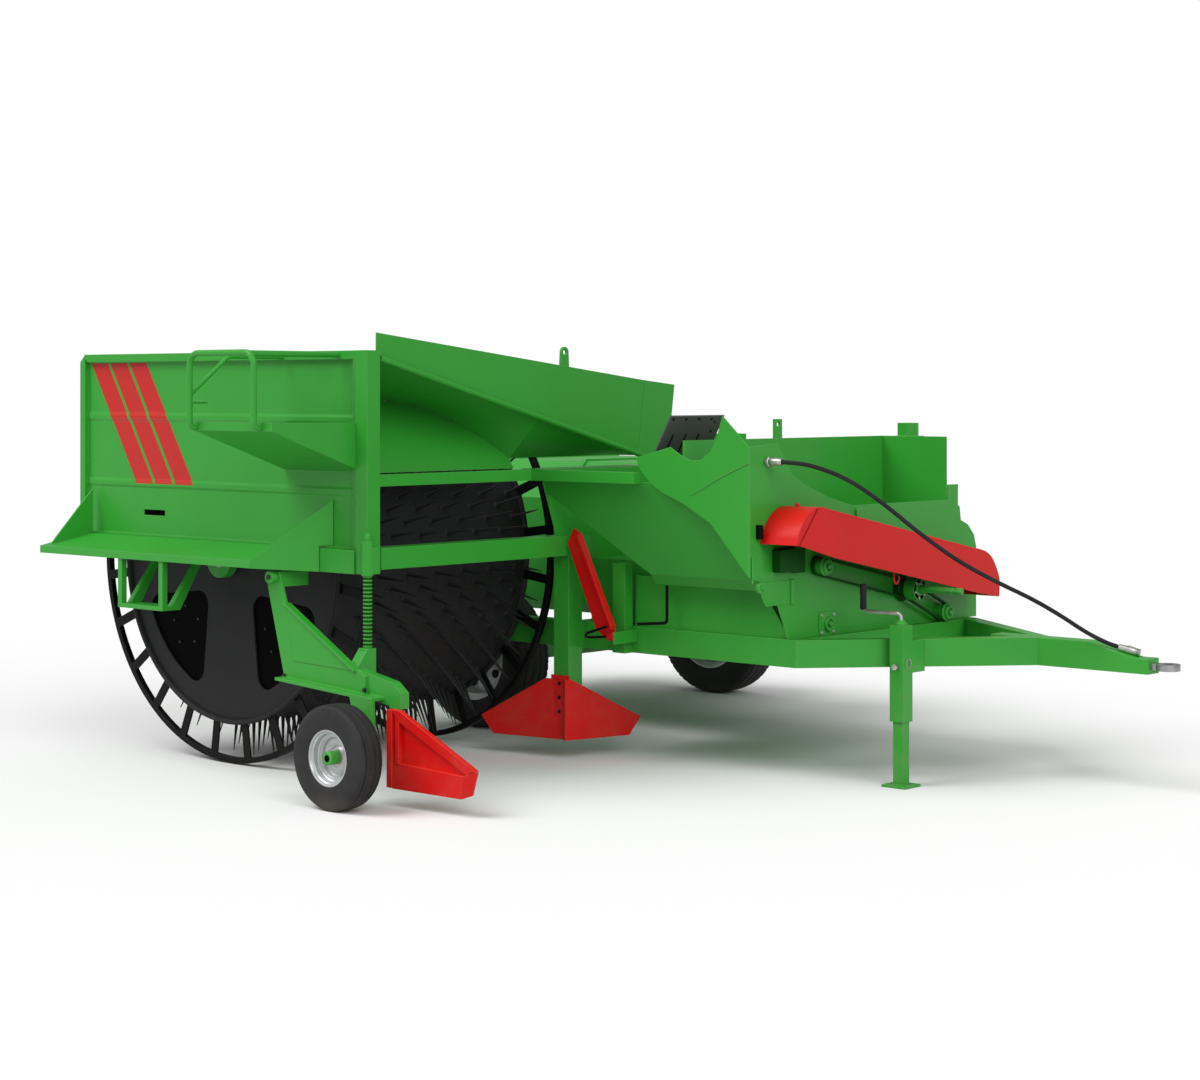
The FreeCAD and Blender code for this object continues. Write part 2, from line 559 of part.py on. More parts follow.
def feed_tray():
    """Hand-feed tray hung on the panel, its outer edge folded up as a lip."""
    lip_y = "tray_edge_y + tray_inset"
    rim_y = "panel_y - panel_wall - panel_rim"
    sheet_y = "panel_y - panel_wall"
    fold_x = "post_x - post_wide / 2 - panel_fold"
    front = "post_x - post_wide / 2"
    slope = f"(tray_high - tray_low) / ({rim_y} - ({lip_y}))"
    inner_z = f"tray_low - panel_rim * {slope}"
    floor = flat("tray_floor", "YZ_Plane",
                 [(lip_y, "tray_high"), (sheet_y, inner_z), (sheet_y, f"{inner_z} - 8"),
                  (lip_y, "tray_high - 8")], "tray_rear_x", f"{fold_x} - tray_rear_x")
    toe = flat("tray_toe", "YZ_Plane",
               [(lip_y, "tray_high"), (rim_y, "tray_low"), (rim_y, "tray_low - 8"),
                (lip_y, "tray_high - 8")], fold_x, "panel_fold")
    lip = block("tray_lip_plate", ("tray_rear_x", lip_y, "tray_high - 8"),
                (f"{front} - tray_rear_x", "sheet", "tray_lip"))
    sides = [flat(f"tray_side_{index}", "YZ_Plane",
                  [(lip_y, "tray_high - 8"), (y, f"{low} - 8"), (y, top),
                   (lip_y, "tray_high + tray_lip - 8")], x, "sheet")
             for index, (x, y, low, top) in enumerate((
                 ("tray_rear_x", sheet_y, inner_z, "high_swage - 27"),
                 (f"{front} - sheet", rim_y, "tray_low", "tray_high + tray_lip - 12")))]
    piece("feed_tray", join("feed_tray", [floor, toe, lip] + sides))


def guard_rail():
    """Tube hoop on the tray's lip, stayed back to the panel's top, with a short hand hold."""
    rear, front = size("rail_rear_x"), size("rail_front_x")
    edge, lip = size("tray_edge_y + rail_r"), size("tray_edge_y + tray_inset")
    back = size("panel_y - panel_wall - panel_rim")
    foot, top = size("tray_high - 8 + rail_r"), size("rail_top")
    radius, bend, thin = size("rail_r"), size("rail_bend"), size("brace_r")
    knee_z = top - radius
    hoop = tube_along([(rear, lip, foot), (rear, edge, foot), (rear, edge, top),
                       (front, edge, top), (front, edge, foot), (front, lip, foot)], radius,
                      [bend / 2, bend, bend, bend / 2])
    front_stay = Part.makeCylinder(radius, back - edge, Vector(front - bend - 2, edge, top - 4),
                                   Vector(0, 1, 0))
    rear_stay = tube_along([(rear, edge, size("brace_foot_z")), (rear, size("brace_knee_y"), knee_z),
                            (rear, back, knee_z)], thin, [bend])
    handle = Part.makeCylinder(thin * 0.6, size("handle_reach"), Vector(rear, edge, size("handle_z")),
                               Vector(0, 1, 0))
    rail = hoop.multiFuse([front_stay, rear_stay, handle])
    piece("guard_rail", put(computed("guard_rail", rail)))


# ---------------------------------------------------------------- front of the drum

def front_rails():
    """Low rail from the panel post to the plough post, high rail on to the hopper's edge."""
    start = "panel_y - 50 + post_wide"
    end = "plough_post_y + plough_post_wide / 2"
    rear = "post_x - plough_post_wide / 2"
    low = block("low_rail", (rear, start, "low_rail_z"),
                ("plough_post_wide", f"{end} - ({start})", "low_rail_high"))
    high = join("high_rail", [
        block("high_rail_cross", (rear, start, "high_rail_z"),
              ("high_rail_wide", f"wall_y - ({start})", "high_rail_high")),
        block("high_rail_edge", (rear, "wall_y - high_rail_wide", "high_rail_z"),
              (f"edge_rail_x - ({rear})", "high_rail_wide", "high_rail_high"))])
    piece("front_rails", group("front_rails", [low, high]))


def plough_posts():
    """Post that carries the centre plough, spaced off the frame, and the corner post."""
    half = "plough_post_wide / 2"
    foot = "plough_low + mount_high - 180"
    piece("plough_post", join("plough_post", [
        block("plough_post_bar", (f"post_x - {half}", f"plough_post_y - {half}", foot),
              ("plough_post_wide", "plough_post_wide", f"low_rail_z - ({foot})")),
        block("post_spacer", (f"post_x - {half}", f"plough_post_y + {half}", "beam_top - beam_high"),
              ("plough_post_wide", f"right_beam_y - plough_post_y - {half}", "beam_high"))]))
    corner = block("corner_bar", ("corner_post_x - 40", "right_beam_y - 60", "beam_top - beam_high"),
                   ("80", "60", "corner_post_high"))
    lug = block("stow_lug", ("corner_post_x + 40", "stow_y - 25", "stow_z - 30"),
                ("33", "right_beam_y - stow_y + 25", "60"))
    slot = block("stow_slot", ("corner_post_x", "stow_y - 26", "stow_z - 31"),
                 ("65", "right_beam_y - 61 - stow_y + 26", "62"))
    pin = rod("stow_pin", ("corner_post_x + 5", "stow_y", "stow_z"), "stow_pin_r", "62", "X")
    piece("corner_post", join("corner_post", [corner, cut("stow_bracket", lug, slot), pin]))


def centre_plough():
    """Two swept wings on a pierced mount plate, with a band bent along the bottom."""
    face = "plough_post_y - plough_post_wide / 2"
    thick = "plough_plate"
    mount = block("centre_mount", ("post_x - 60", f"{face} - {thick}", "plough_low"),
                  ("120", thick, "mount_high"))
    rear = flat("rear_wing", "XZ_Plane",
                [("0", "plough_low"), ("-400", "plough_low"), ("-480", "plough_low + 90"),
                 ("-90", "plough_low + mount_high - 20"), ("0", "plough_low + mount_high - 20")],
                "0", thick, turn=((0, 0, 1), 9.5), at=("post_x", f"{face} - {thick}", "0"))
    front = flat("front_wing", "YZ_Plane",
                 [("-20", "plough_low"), ("360", "plough_low"), ("430", "plough_low + 90"),
                  ("20", "plough_low + mount_high - 20"), ("-20", "plough_low + mount_high - 20")],
                 "0", thick, turn=((0, 0, 1), -16), at=("post_x + 52", f"{face} - {thick}", "0"))
    body = join("centre_body", [mount, rear, front])
    holes = group("mount_holes", [
        rod(f"mount_hole_{index}", ("post_x", f"{face} - {thick} - 1", f"plough_low + mount_high - {drop}"),
            "9", f"{thick} + 2", "Y") for index, drop in enumerate(("40", "110", "180"))])
    piece("centre_plough", cut("centre_plough", body, holes))


def outer_plough():
    """Outboard plough: a wedge-shaped wing in a folded rim, on a bracket from the gauge arm."""
    side = "arm_y + 20"
    heel, low, high = "outer_plough_x", "80", "430"
    wing = flat("outer_wing", "XZ_Plane",
                [(heel, low), (f"{heel} + 480", low), (f"{heel} + 535", "180"),
                 (f"{heel} + 480", "215"), (f"{heel} + 40", high), (heel, high)],
                side, "plough_plate")
    rim = flat("outer_rim", "XZ_Plane",
               [(heel, low), (f"{heel} + 40", low), (f"{heel} + 40", high), (heel, high)],
               f"{side} - 40", "50")
    top = flat("outer_top_rim", "XZ_Plane",
               [(f"{heel} + 40", f"{high} - 14"), (f"{heel} + 480", "201"),
                (f"{heel} + 480", "215"), (f"{heel} + 40", high)], f"{side} - 24", "34")
    blade = flat("outer_blade", "XZ_Plane",
                 [(heel, low), (f"{heel} + 480", low), (f"{heel} + 505", "130"), (heel, "130")],
                 f"{side} - 12", "22")
    piece("outer_plough", join("outer_plough", [wing, rim, top, blade]))


def stowed_plough():
    """Spare deflector, folded up beside the corner post on a hinge pin along the machine."""
    tall = "stow_z"
    blade = flat("stowed_blade", "XZ_Plane",
                 [("1435", f"{tall} - 15"), ("1435", f"{tall} + 60"), ("1215", f"{tall} + 500"),
                  ("1165", f"{tall} + 525"), ("1125", f"{tall} + 450"), ("1320", f"{tall} + 30"),
                  ("1400", f"{tall} - 15")], "stow_y - plough_plate / 2", "plough_plate")
    lip = flat("stowed_lip", "XZ_Plane",
               [("1435", f"{tall} + 40"), ("1435", f"{tall} + 60"), ("1215", f"{tall} + 500"),
                ("1200", f"{tall} + 495")], "stow_y - 30", "30")
    hub = rod("stowed_hub", ("corner_post_x + 10", "stow_y", "stow_z"), "stow_pin_r * 2", "50", "X")
    bore = rod("stowed_bore", ("corner_post_x + 5", "stow_y", "stow_z"), "stow_pin_r + fit", "61", "X")
    piece("stowed_plough", cut("stowed_plough", join("stowed_body", [blade, lip, hub]), bore))


def gauge_gear():
    """Gauge wheel arm on its pivot bracket, with the screw that sets the working height."""
    web = flat("gauge_web", "XZ_Plane",
               [("690", "505"), ("1240", "470"), ("1240", "560"), ("1175", "587"),
                ("700", "860"), ("650", "1000"), ("570", "1000"), ("570", "930")],
               "arm_y", "12")
    foot = flat("gauge_foot", "XZ_Plane",
                [("690", "505"), ("1350", "462"), ("1350", "476"), ("690", "519")],
                "arm_y - 60", "100")
    slope = flat("gauge_slope", "XZ_Plane",
                 [("700", "848"), ("1175", "575"), ("1175", "587"), ("700", "860")],
                 "arm_y - 14", "40")
    drop = flat("gauge_drop", "XZ_Plane",
                [("gauge_x - 45", "gauge_r - 40"), ("gauge_x + 45", "gauge_r - 40"),
                 ("gauge_x + 30", "476"), ("gauge_x - 120", "476")], "arm_y - 60", "16")
    start = "gauge_y - gauge_wide / 2 + 10"
    stub = rod("gauge_stub", ("gauge_x", start, "gauge_r"), "gauge_stub_r",
               f"arm_y - 50 - ({start})", "Y")
    heel = "outer_plough_x"
    holder = flat("plough_holder", "XZ_Plane",
                  [("gauge_x - 145", "470"), (f"{heel} - 15", "440"), (f"{heel} - 15", "430"),
                   (f"{heel} + 60", "430"), (f"{heel} + 60", "500"), (heel, "545"),
                   ("gauge_x - 145", "587")], "arm_y + 12", "50")
    piece("gauge_arm", join("gauge_arm", [web, foot, slope, drop, stub, holder]))
    x, y = "screw_x", "panel_y - 75"
    screw = [
        rod("screw_sleeve", (x, y, "screw_top - 160"), "28", "160", "Z"),
        rod("screw_thread", (x, y, "620"), "thread_r", "screw_top - 160 - 620", "Z"),
        block("screw_hold", (f"{x} - 30", y, "screw_top - 150"), ("60", "50", "120")),
        flat("screw_block", "YZ_Plane",
             [(f"{y} + 25", "530"), (f"{y} + 25", "670"), (f"{y} - 25", "670"),
              ("arm_y + 12", "560"), ("arm_y + 12", "530")], f"{x} - 30", "60"),
    ]
    piece("gauge_screw", join("gauge_screw", screw))


# ---------------------------------------------------------------- hood, pan, hopper

def hood():
    """Sloping front hood with a rolled lower edge and a lifting eye on its top edge."""
    start = "panel_y - 50 + post_wide"
    low = "hood_low_out + (hood_low_in - hood_low_out) * (post_wide - 50) / -panel_y"
    top = "hood_top_out + (hood_top_in - hood_top_out) * (post_wide - 50) / -panel_y"
    skin = flat("hood_skin", "YZ_Plane",
                [(start, low), ("0", "hood_low_in"), ("hood_left_y - 30", "hopper_rear_top + sheet"),
                 ("hood_left_y + 30", "hood_top_in - 25"), ("0", "hood_top_in"), (start, top)],
                "hood_x", "hood_wall")
    outer_end, inner_end = Vector(0, size(start), size(low)), Vector(0, 0, size("hood_low_in"))
    run = inner_end - outer_end
    short = run.Length - size("bead_r")
    bead = computed("hood_bead", Part.makeCylinder(size("bead_r"), short, inner_end, -run))
    put(bead, "hood_x + bead_r", 0, 0)
    eye_foot = "hood_top_in + (hood_top_out - hood_top_in) * eye_y / panel_y"
    tab = flat("hood_eye_tab", "YZ_Plane",
               [("eye_y - 34", f"{eye_foot} - 60"), ("eye_y + 34", f"{eye_foot} - 60"),
                ("eye_y + 27", f"{eye_foot} + 70"), ("eye_y - 27", f"{eye_foot} + 70")],
               "hood_x - 12", "12")
    head = rod("hood_eye_head", ("hood_x - 12", "eye_y", f"{eye_foot} + 70"), "27", "12", "X")
    bore = rod("hood_eye_bore", ("hood_x - 13", "eye_y", f"{eye_foot} + 70"), "lift_bore / 2",
               "14", "X")
    piece("front_hood", cut("front_hood", join("hood_body", [skin, bead, tab, head]), bore))


EDGE_SHARES = (0, 0.25, 0.4, 0.53, 0.65, 0.77, 0.88, 1)


def guide_x(z):
    """Where the comb guide's outer skin stands at a height."""
    reach = size("guide_r + sheet")
    return size("drum_x") + math.sqrt(reach ** 2 - (z - size("drum_z")) ** 2)


def guide_edge(share):
    """Rule for the comb guide's bowed top edge, at a share of the way in from the panel."""
    return f"guide_top - (guide_top - pan_low) * {share ** size('guide_bow'):.4f}"


def fruit_pan():
    """Pan between the hood's lower edge and the comb guide's top edge, with its outlet shelf."""
    thick = size("sheet")
    front = size("hood_x")
    start, end = size("panel_y - 50 + post_wide"), 0.0
    guide_end = size("wall_y")
    spots = [(start + (guide_end - start) * share, share) for share in EDGE_SHARES] + [(end, 1)]
    sections = []
    for y, share in spots:
        hood_z = size(f"hood_low_out + (hood_low_in - hood_low_out) * ({y} - panel_y) / -panel_y")
        low = size(guide_edge(share))
        back = guide_x(low)
        corners = [Vector(front, y, hood_z), Vector(front, y, hood_z + thick * 3),
                   Vector(back, y, low + thick), Vector(back, y, low)]
        sections.append(Part.makePolygon(corners + corners[:1]))
    skin = Part.makeLoft(sections, True, True)
    piece("fruit_pan", put(computed("fruit_pan", skin)))
    floor = block("outlet_floor", ("mid_x - 60", "wall_y", "hopper_rear_top"),
                  ("60 + beam_wide", "hopper_left_y - wall_y", "sheet"))
    back = block("outlet_back", ("mid_x - 60", "hood_left_y", "hopper_rear_top"),
                 ("sheet", "hopper_left_y - hood_left_y", "hopper_top - hopper_rear_top"))
    side = block("outlet_side", ("mid_x - 60", "hopper_left_y - sheet", "hopper_rear_top"),
                 ("60 + beam_wide", "sheet", "hopper_top - hopper_rear_top"))
    piece("pan_outlet", join("pan_outlet", [floor, back, side]))
    wide = "wall_y - panel_y - 22"
    ring = cut("guide_ring",
               rod("guide_out", ("drum_x", "panel_y + 22", "drum_z"), "guide_r + sheet", wide, "Y"),
               rod("guide_in", ("drum_x", "panel_y + 21", "drum_z"), "guide_r", f"{wide} + 2", "Y"))
    edge = [(f"panel_y + 22 + ({wide}) * {share}", guide_edge(share)) for share in EDGE_SHARES]
    window = flat("guide_window", "YZ_Plane",
                  [("panel_y + 22", "high_rail_z + high_rail_high"),
                   ("wall_y", "high_rail_z + high_rail_high")] + edge[::-1],
                  "drum_x + guide_r / 2", "guide_r")
    guide = DOC.addObject("Part::Common", "comb_guide")
    guide.Base = ring
    guide.Tool = window
    piece("comb_guide", guide)


def hopper():
    """Open fruit hopper over the crusher, between the front wall and the rear wall."""
    wall = "sheet"
    rear = "mid_x + beam_wide"
    piece("hopper_right_wall", flat("hopper_right_wall", "XZ_Plane", [
        ("front_wall_x", "985"), ("front_wall_x", "1586"), ("2223", "1727"), ("2187", "1615"),
        ("2150", "1560"), ("2091", "1520"), ("2030", "1518"), ("1970", "1542"), ("1907", "1578"),
        ("1694", "1524"), ("1715", "1475"), ("1752", "1433"), ("1805", "1390"), ("1862", "1360"),
        ("1992", "1310"), ("2153", "1226")], "wall_y", wall))
    tilt = "(1 / cos(apron_tilt))"
    piece("hopper_apron", flat("hopper_apron", "XZ_Plane", [
        (rear, f"-65 * {tilt}"), ("1640", f"-450 * {tilt}"), ("front_wall_x", f"-450 * {tilt}"),
        ("front_wall_x", "0"), (rear, "0")], "0", wall,
        turn=((1, 0, 0), SIZES["apron_tilt"]), at=("0", f"wall_y + {wall}", "1405")))
    piece("front_wall", flat("front_wall", "YZ_Plane", [
        ("wall_y", "1586"), ("wall_y", "985"), ("-600", "930"), ("right_beam_y", "beam_top"),
        ("1110", "beam_top"), ("1110", "1039"), ("1090", "1101"), ("1034", "1156"), ("968", "1182"),
        ("958", "1248"), ("942", "1262"), ("942", "1366"),
        ("851", "1366"), ("850", "1290"), ("30", "1290"), ("-150", "1330"), ("-330", "1390"),
        ("-450", "1450"), ("-560", "1600")], "front_wall_x", wall))
    piece("hopper_rear_wall", flat("hopper_rear_wall", "YZ_Plane", [
        ("right_beam_y + beam_wide", "beam_top"), ("hopper_left_y", "beam_top"),
        ("hopper_left_y", "hopper_rear_top"), ("wall_y", "hopper_rear_top"),
        ("wall_y", "1405"), ("wall_y + (1405 - low_rail_z - low_rail_high) * tan(apron_tilt)",
                            "low_rail_z + low_rail_high + seat"),
        ("right_beam_y + beam_wide", "low_rail_z + low_rail_high + seat")],
        f"{rear} - {wall}", wall))
    inner_y = f"wall_y + {wall} + {wall} / cos(apron_tilt) + seat"
    baffle = flat("baffle_sheet", "YZ_Plane", [
        (f"{inner_y} + (1405 - crusher_top) * tan(apron_tilt)", "crusher_top"),
        (f"hopper_left_y - {wall}", "crusher_top"), (f"hopper_left_y - {wall}", "hopper_top"),
        (f"wall_y + {wall}", "hopper_top"), (f"wall_y + {wall}", "1412"), (inner_y, "1412")],
        "back_wall_x", wall)
    tab = block("baffle_lug", ("back_wall_x - 12", "-60", "hopper_top - 60"), ("12", "60", "154"))
    bore = rod("baffle_lug_bore", ("back_wall_x - 13", "-30", "hopper_top + 68"), "lift_bore / 2",
               "14", "X")
    piece("hopper_baffle", cut("hopper_baffle", join("baffle_body", [baffle, tab]), bore))
    left = flat("left_wall_sheet", "XZ_Plane", [
        (rear, "crusher_top"), ("front_wall_x", "crusher_top"), ("front_wall_x", "hopper_top"),
        ("back_wall_x", "hopper_top"), ("back_wall_x", "hopper_rear_top"),
        (rear, "hopper_rear_top")], f"hopper_left_y - {wall}", wall)
    seat = block("cap_seat", ("cap_x - cap_r", "hopper_left_y", "hopper_top - 30"),
                 ("cap_r * 2", "cap_r * 2", "30"))
    cap = DOC.addObject("Part::Prism", "cap_hexagon")
    cap.Polygon = 6
    bind(cap, "Circumradius", "cap_r")
    bind(cap, "Height", "cap_high")
    put(cap, "cap_x", "hopper_left_y + cap_r", "hopper_top")
    piece("hopper_left_wall", join("hopper_left_wall", [left, seat, cap]))
    piece("crusher_housing", block("crusher_housing", (rear, "right_beam_y + beam_wide", "beam_top"),
                                   (f"front_wall_x - ({rear})",
                                    "left_beam_y - right_beam_y - beam_wide",
                                    "crusher_top - beam_top")))
    piece("side_skirt", flat("side_skirt", "XZ_Plane", [
        ("1420", "beam_top"), ("front_wall_x", "beam_top"), ("2200", "930"), ("1420", "930")],
        "right_beam_y + 20", wall))
    plate = flat("slotted_plate", "XZ_Plane",
                 [("1778", "1510"), ("1785", "1506"), ("1910", "1723"), ("1903", "1727")],
                 f"wall_y + {wall}", "400")
    piece("slotted_plate", plate)


def sieve():
    """Sieve casing between the wheels, with stiffening straps and a clean-out door at the rear."""
    rear = "tail_x + 60"
    chamfer = "200"
    corners = [("sieve_right_y", "beam_top"), ("sieve_left_y", "beam_top"),
               ("sieve_left_y", f"sieve_top - {chamfer}"), (f"sieve_left_y - {chamfer}", "sieve_top"),
               (f"sieve_right_y + {chamfer}", "sieve_top"), ("sieve_right_y", f"sieve_top - {chamfer}")]
    proud = [("sieve_right_y - 12", "beam_top"), ("sieve_left_y + 12", "beam_top"),
             ("sieve_left_y + 12", f"sieve_top - {chamfer} + 5"),
             (f"sieve_left_y - {chamfer} + 5", "sieve_top + 12"),
             (f"sieve_right_y + {chamfer} - 5", "sieve_top + 12"),
             ("sieve_right_y - 12", f"sieve_top - {chamfer} + 5")]
    shell = flat("sieve_shell", "YZ_Plane", corners, rear, f"mid_x - ({rear})")
    run = f"(mid_x - ({rear}) - strap_inset * 2 - strap_wide)"
    straps = [flat(f"sieve_strap_{index}", "YZ_Plane", proud,
                   f"{rear} + strap_inset + {run} * {index} / 3", "strap_wide")
              for index in range(4)]
    hinge_z = "sieve_top - 240"
    door = block("door_leaf", (f"{rear} - 25", "sieve_right_y + 150", "beam_top + 110"),
                 ("20", "sieve_left_y - sieve_right_y - 300", f"{hinge_z} - beam_top - 110"))
    roll = rod("door_roll", (f"{rear} - 20", "sieve_right_y + 250", hinge_z), "14",
               "sieve_left_y - sieve_right_y - 500", "Y")
    pin_hole = rod("door_bore", (f"{rear} - 20", "sieve_right_y + 240", hinge_z), "8 + fit",
                   "sieve_left_y - sieve_right_y - 480", "Y")
    trim = block("door_trim", (f"{rear} - 26", "sieve_right_y + 140", f"{hinge_z} - 30"),
                 ("24", "110", "70"))
    trim_left = block("door_trim_left", (f"{rear} - 26", "sieve_left_y - 250", f"{hinge_z} - 30"),
                      ("24", "110", "70"))
    piece("sieve_door", cut("sieve_door", join("door_body", [door, roll]),
                            group("door_cuts", [pin_hole, trim, trim_left])))
    lugs = [block(f"door_lug_{index}", (f"{rear} - 40", y, f"{hinge_z} - 15"), ("40", "60", "40"))
            for index, y in enumerate(("sieve_right_y + 180", "sieve_left_y - 240"))]
    pin = rod("door_pin", (f"{rear} - 20", "sieve_right_y + 180", hinge_z), "8",
              "sieve_left_y - sieve_right_y - 360", "Y")
    piece("sieve_casing", join("sieve_casing", [shell, pin] + straps + lugs))


# ---------------------------------------------------------------- drive

def belt_loop(name, start, end, radius_a, radius_b):
    """A flat belt or chain round two wheels, standing off the front wall."""
    first = Vector(0, size(start[0]), size(start[1]))
    second = Vector(0, size(end[0]), size(end[1]))
    line = second - first
    turn = math.atan2(line.z, line.y)
    lean = math.asin((size(radius_a) - size(radius_b)) / line.Length)
    wide, thick = size("belt_wide"), size("belt_thick")

    def hull(extra):
        a, b = size(radius_a) + extra, size(radius_b) + extra
        spots = []
        for centre, radius, angle in ((first, a, turn + math.pi / 2 - lean),
                                      (second, b, turn + math.pi / 2 - lean),
                                      (second, b, turn), (second, b, turn - math.pi / 2 + lean),
                                      (first, a, turn - math.pi / 2 + lean),
                                      (first, a, turn + math.pi)):
            spots.append(centre + Vector(0, radius * math.cos(angle), radius * math.sin(angle)))
        wire = Part.Wire([Part.LineSegment(spots[0], spots[1]).toShape(),
                          Part.Arc(spots[1], spots[2], spots[3]).toShape(),
                          Part.LineSegment(spots[3], spots[4]).toShape(),
                          Part.Arc(spots[4], spots[5], spots[0]).toShape()])
        return Part.Face(wire).extrude(Vector(wide, 0, 0))

    return hull(thick).cut(hull(0))


# The guard's outline as (y, z): its foot, left open, then its bowed crown.
GUARD_FOOT = [(-695, 1138), (-660, 1134), (-391, 1066), (808, 830), (1000, 800)]
GUARD_CROWN = [(1004, 861), (997, 898), (969, 952), (929, 1002), (874, 1034), (795, 1053),
               (-450, 1297), (-505, 1306), (-560, 1299), (-610, 1272), (-650, 1232), (-678, 1186)]


def belt_guard():
    """Belt guard: a sheet folded round a bowed crown, with an open foot."""
    wall, deep = size("sheet"), size("guard_deep")

    def profile(drop):
        spots = [Vector(0, y, z - drop) for y, z in GUARD_FOOT]
        spots += [Vector(0, y, z) for y, z in GUARD_CROWN]
        return Part.Face(Part.makePolygon(spots + spots[:1]))

    inside = profile(deep / 4).makeOffset2D(-wall).extrude(Vector(deep - wall, 0, 0))
    guard = computed("belt_guard", profile(0).extrude(Vector(deep, 0, 0)).cut(inside))
    piece("belt_guard", put(guard, "front_wall_x + sheet", 0, 0))


def drive():
    """Sprockets and chains on the front wall, and the power take-off stub."""
    face = "front_wall_x + sheet"
    wheels_at = [("upper", "upper_hub_y", "upper_hub_z", "upper_hub_r"),
                 ("lower", "lower_hub_y", "lower_hub_z", "lower_hub_r"),
                 ("pto", "pto_y", "pto_z", "pto_wheel_r")]
    reach = "belt_stand + belt_wide + 10"
    discs = [rod(f"{name}_wheel", (face, y, z), radius, reach, "X")
             for name, y, z, radius in wheels_at]
    case = rod("pto_case", (f"{face} + {reach} - 1", "pto_y", "pto_z"), "pto_case_r", "61", "X")
    bore = rod("pto_bore", (f"{face} - 1", "pto_y", "pto_z"), "pto_neck_r + fit", "300", "X")
    boss = cut("pto_boss", join("pto_body", [discs[2], case]), bore)
    piece("drive_sprockets", group("drive_sprockets", discs[:2] + [boss]))
    chains = []
    for name, end, radius in (("upper", ("upper_hub_y", "upper_hub_z"), "upper_hub_r"),
                              ("lower", ("lower_hub_y", "lower_hub_z"), "lower_hub_r")):
        loop = belt_loop(name, ("pto_y", "pto_z"), end, "pto_wheel_r", radius)
        loop.translate(Vector(size(f"{face} + 5") + (0 if name == "upper" else size("belt_wide") + 5), 0, 0))
        chains.append(loop)
    piece("drive_chains", put(computed("drive_chains", Part.makeCompound(chains))))
    case_end = f"{face} + {reach} + 60"
    piece("pto_shaft", join("pto_shaft", [
        rod("pto_neck", (f"{face} + 5", "pto_y", "pto_z"), "pto_neck_r", f"{reach} + 55", "X"),
        rod("pto_stub", (case_end, "pto_y", "pto_z"), "pto_r", f"pto_tip_x - ({case_end})", "X")]))


def hose():
    """Hydraulic hose from the bulkhead fitting down to its coupler, which lies on the tongue."""
    face = "front_wall_x + sheet"
    fitting = rod("hose_fitting", (face, HOSE_ROUTE[0][1], HOSE_ROUTE[0][2]), "hose_r * 1.6",
                  f"{HOSE_ROUTE[0][0]} - ({face})", "X")
    end = Vector(*HOSE_ROUTE[-1])
    way = (end - Vector(*HOSE_ROUTE[-2])).normalize()
    coupler = computed("hose_coupler", Part.makeCylinder(size("hose_r * 1.4"), 62, end, way))
    piece("hose_ends", group("hose_ends", [fitting, coupler]))
    piece("hydraulic_hose", put(computed("hydraulic_hose", tube_along(HOSE_ROUTE, size("hose_r")))))


def jack():
    """Screw jack on the outside of the right drawbar beam."""
    middle = "jack_y"
    half = "jack_tube / 2"
    outer = block("jack_tube_bar", (f"jack_x - {half}", f"{middle} - {half}", "jack_low"),
                  ("jack_tube", "jack_tube", "jack_top - jack_low"))
    hole = block("jack_tube_hole", ("jack_x - jack_leg / 2 - jack_play",
                                    f"{middle} - jack_leg / 2 - jack_play", "jack_low - 1"),
                 ("jack_leg + jack_play * 2", "jack_leg + jack_play * 2",
                  "jack_top - jack_low - 9"))
    # The bracket closes the wedge between the square tube and the slanting beam.
    rise = "(tongue_y - tongue_wide / 2 - right_beam_y) / (apex_x - front_x)"
    line = f"right_beam_y + {rise}"
    plate = flat("jack_bracket", "XY_Plane",
                 [(f"jack_x - {half}", f"{middle} - {half}"), (f"jack_x + {half}", f"{middle} - {half}"),
                  (f"jack_x + {half}", f"{line} * (jack_x + {half} - front_x)"),
                  (f"jack_x - {half}", f"{line} * (jack_x - {half} - front_x)")],
                 "beam_top - beam_high - 20", "beam_high + 20")
    sleeve = cut("jack_sleeve", join("jack_body", [outer, plate]), hole)
    piece("jack_sleeve", sleeve)
    top = size("jack_top")
    arm = [(size("jack_x"), size(middle), top), (size("jack_x"), size(middle), top + 52),
           (size("jack_x") - size("crank_reach"), size(middle), top + 52),
           (size("jack_x") - size("crank_reach"), size(middle), top + 180)]
    piece("jack_crank", put(computed("jack_crank", tube_along(arm, size("crank_r"), [22, 22]))))
    leg = block("jack_leg_bar", ("jack_x - jack_leg / 2", f"{middle} - jack_leg / 2",
                                 "jack_foot_thick"), ("jack_leg", "jack_leg", "jack_low + 60"))
    foot = block("jack_foot_plate", ("jack_x - jack_foot / 2", f"{middle} - jack_foot / 2", "0"),
                 ("jack_foot", "jack_foot", "jack_foot_thick"))
    piece("jack_leg", join("jack_leg", [leg, foot]))


for make in (frame_beams, tow_eye, axle, wheels, drum, drum_bearings, side_panel, shelf, step,
             feed_tray, guard_rail, front_rails, plough_posts, centre_plough, outer_plough, stowed_plough,
             gauge_gear, hood, fruit_pan, hopper, sieve, belt_guard, drive, hose, jack):
    make()

DOC.recompute()
for thing in DOC.Objects:
    if "Invalid" in thing.State or "Error" in thing.State:
        raise ValueError(f"{thing.Label} failed to rebuild")
for thing in PIECES:
    if thing.Shape.isNull() or not thing.Shape.isValid():
        raise ValueError(f"{thing.Label} has no sound shape")

os.makedirs("parts", exist_ok=True)
for thing in PIECES:
    thing.Shape.exportStep(f"parts/{thing.Label}.step")
    print(thing.Label, len(thing.Shape.Solids), round(thing.Shape.Volume / 1e6, 2))
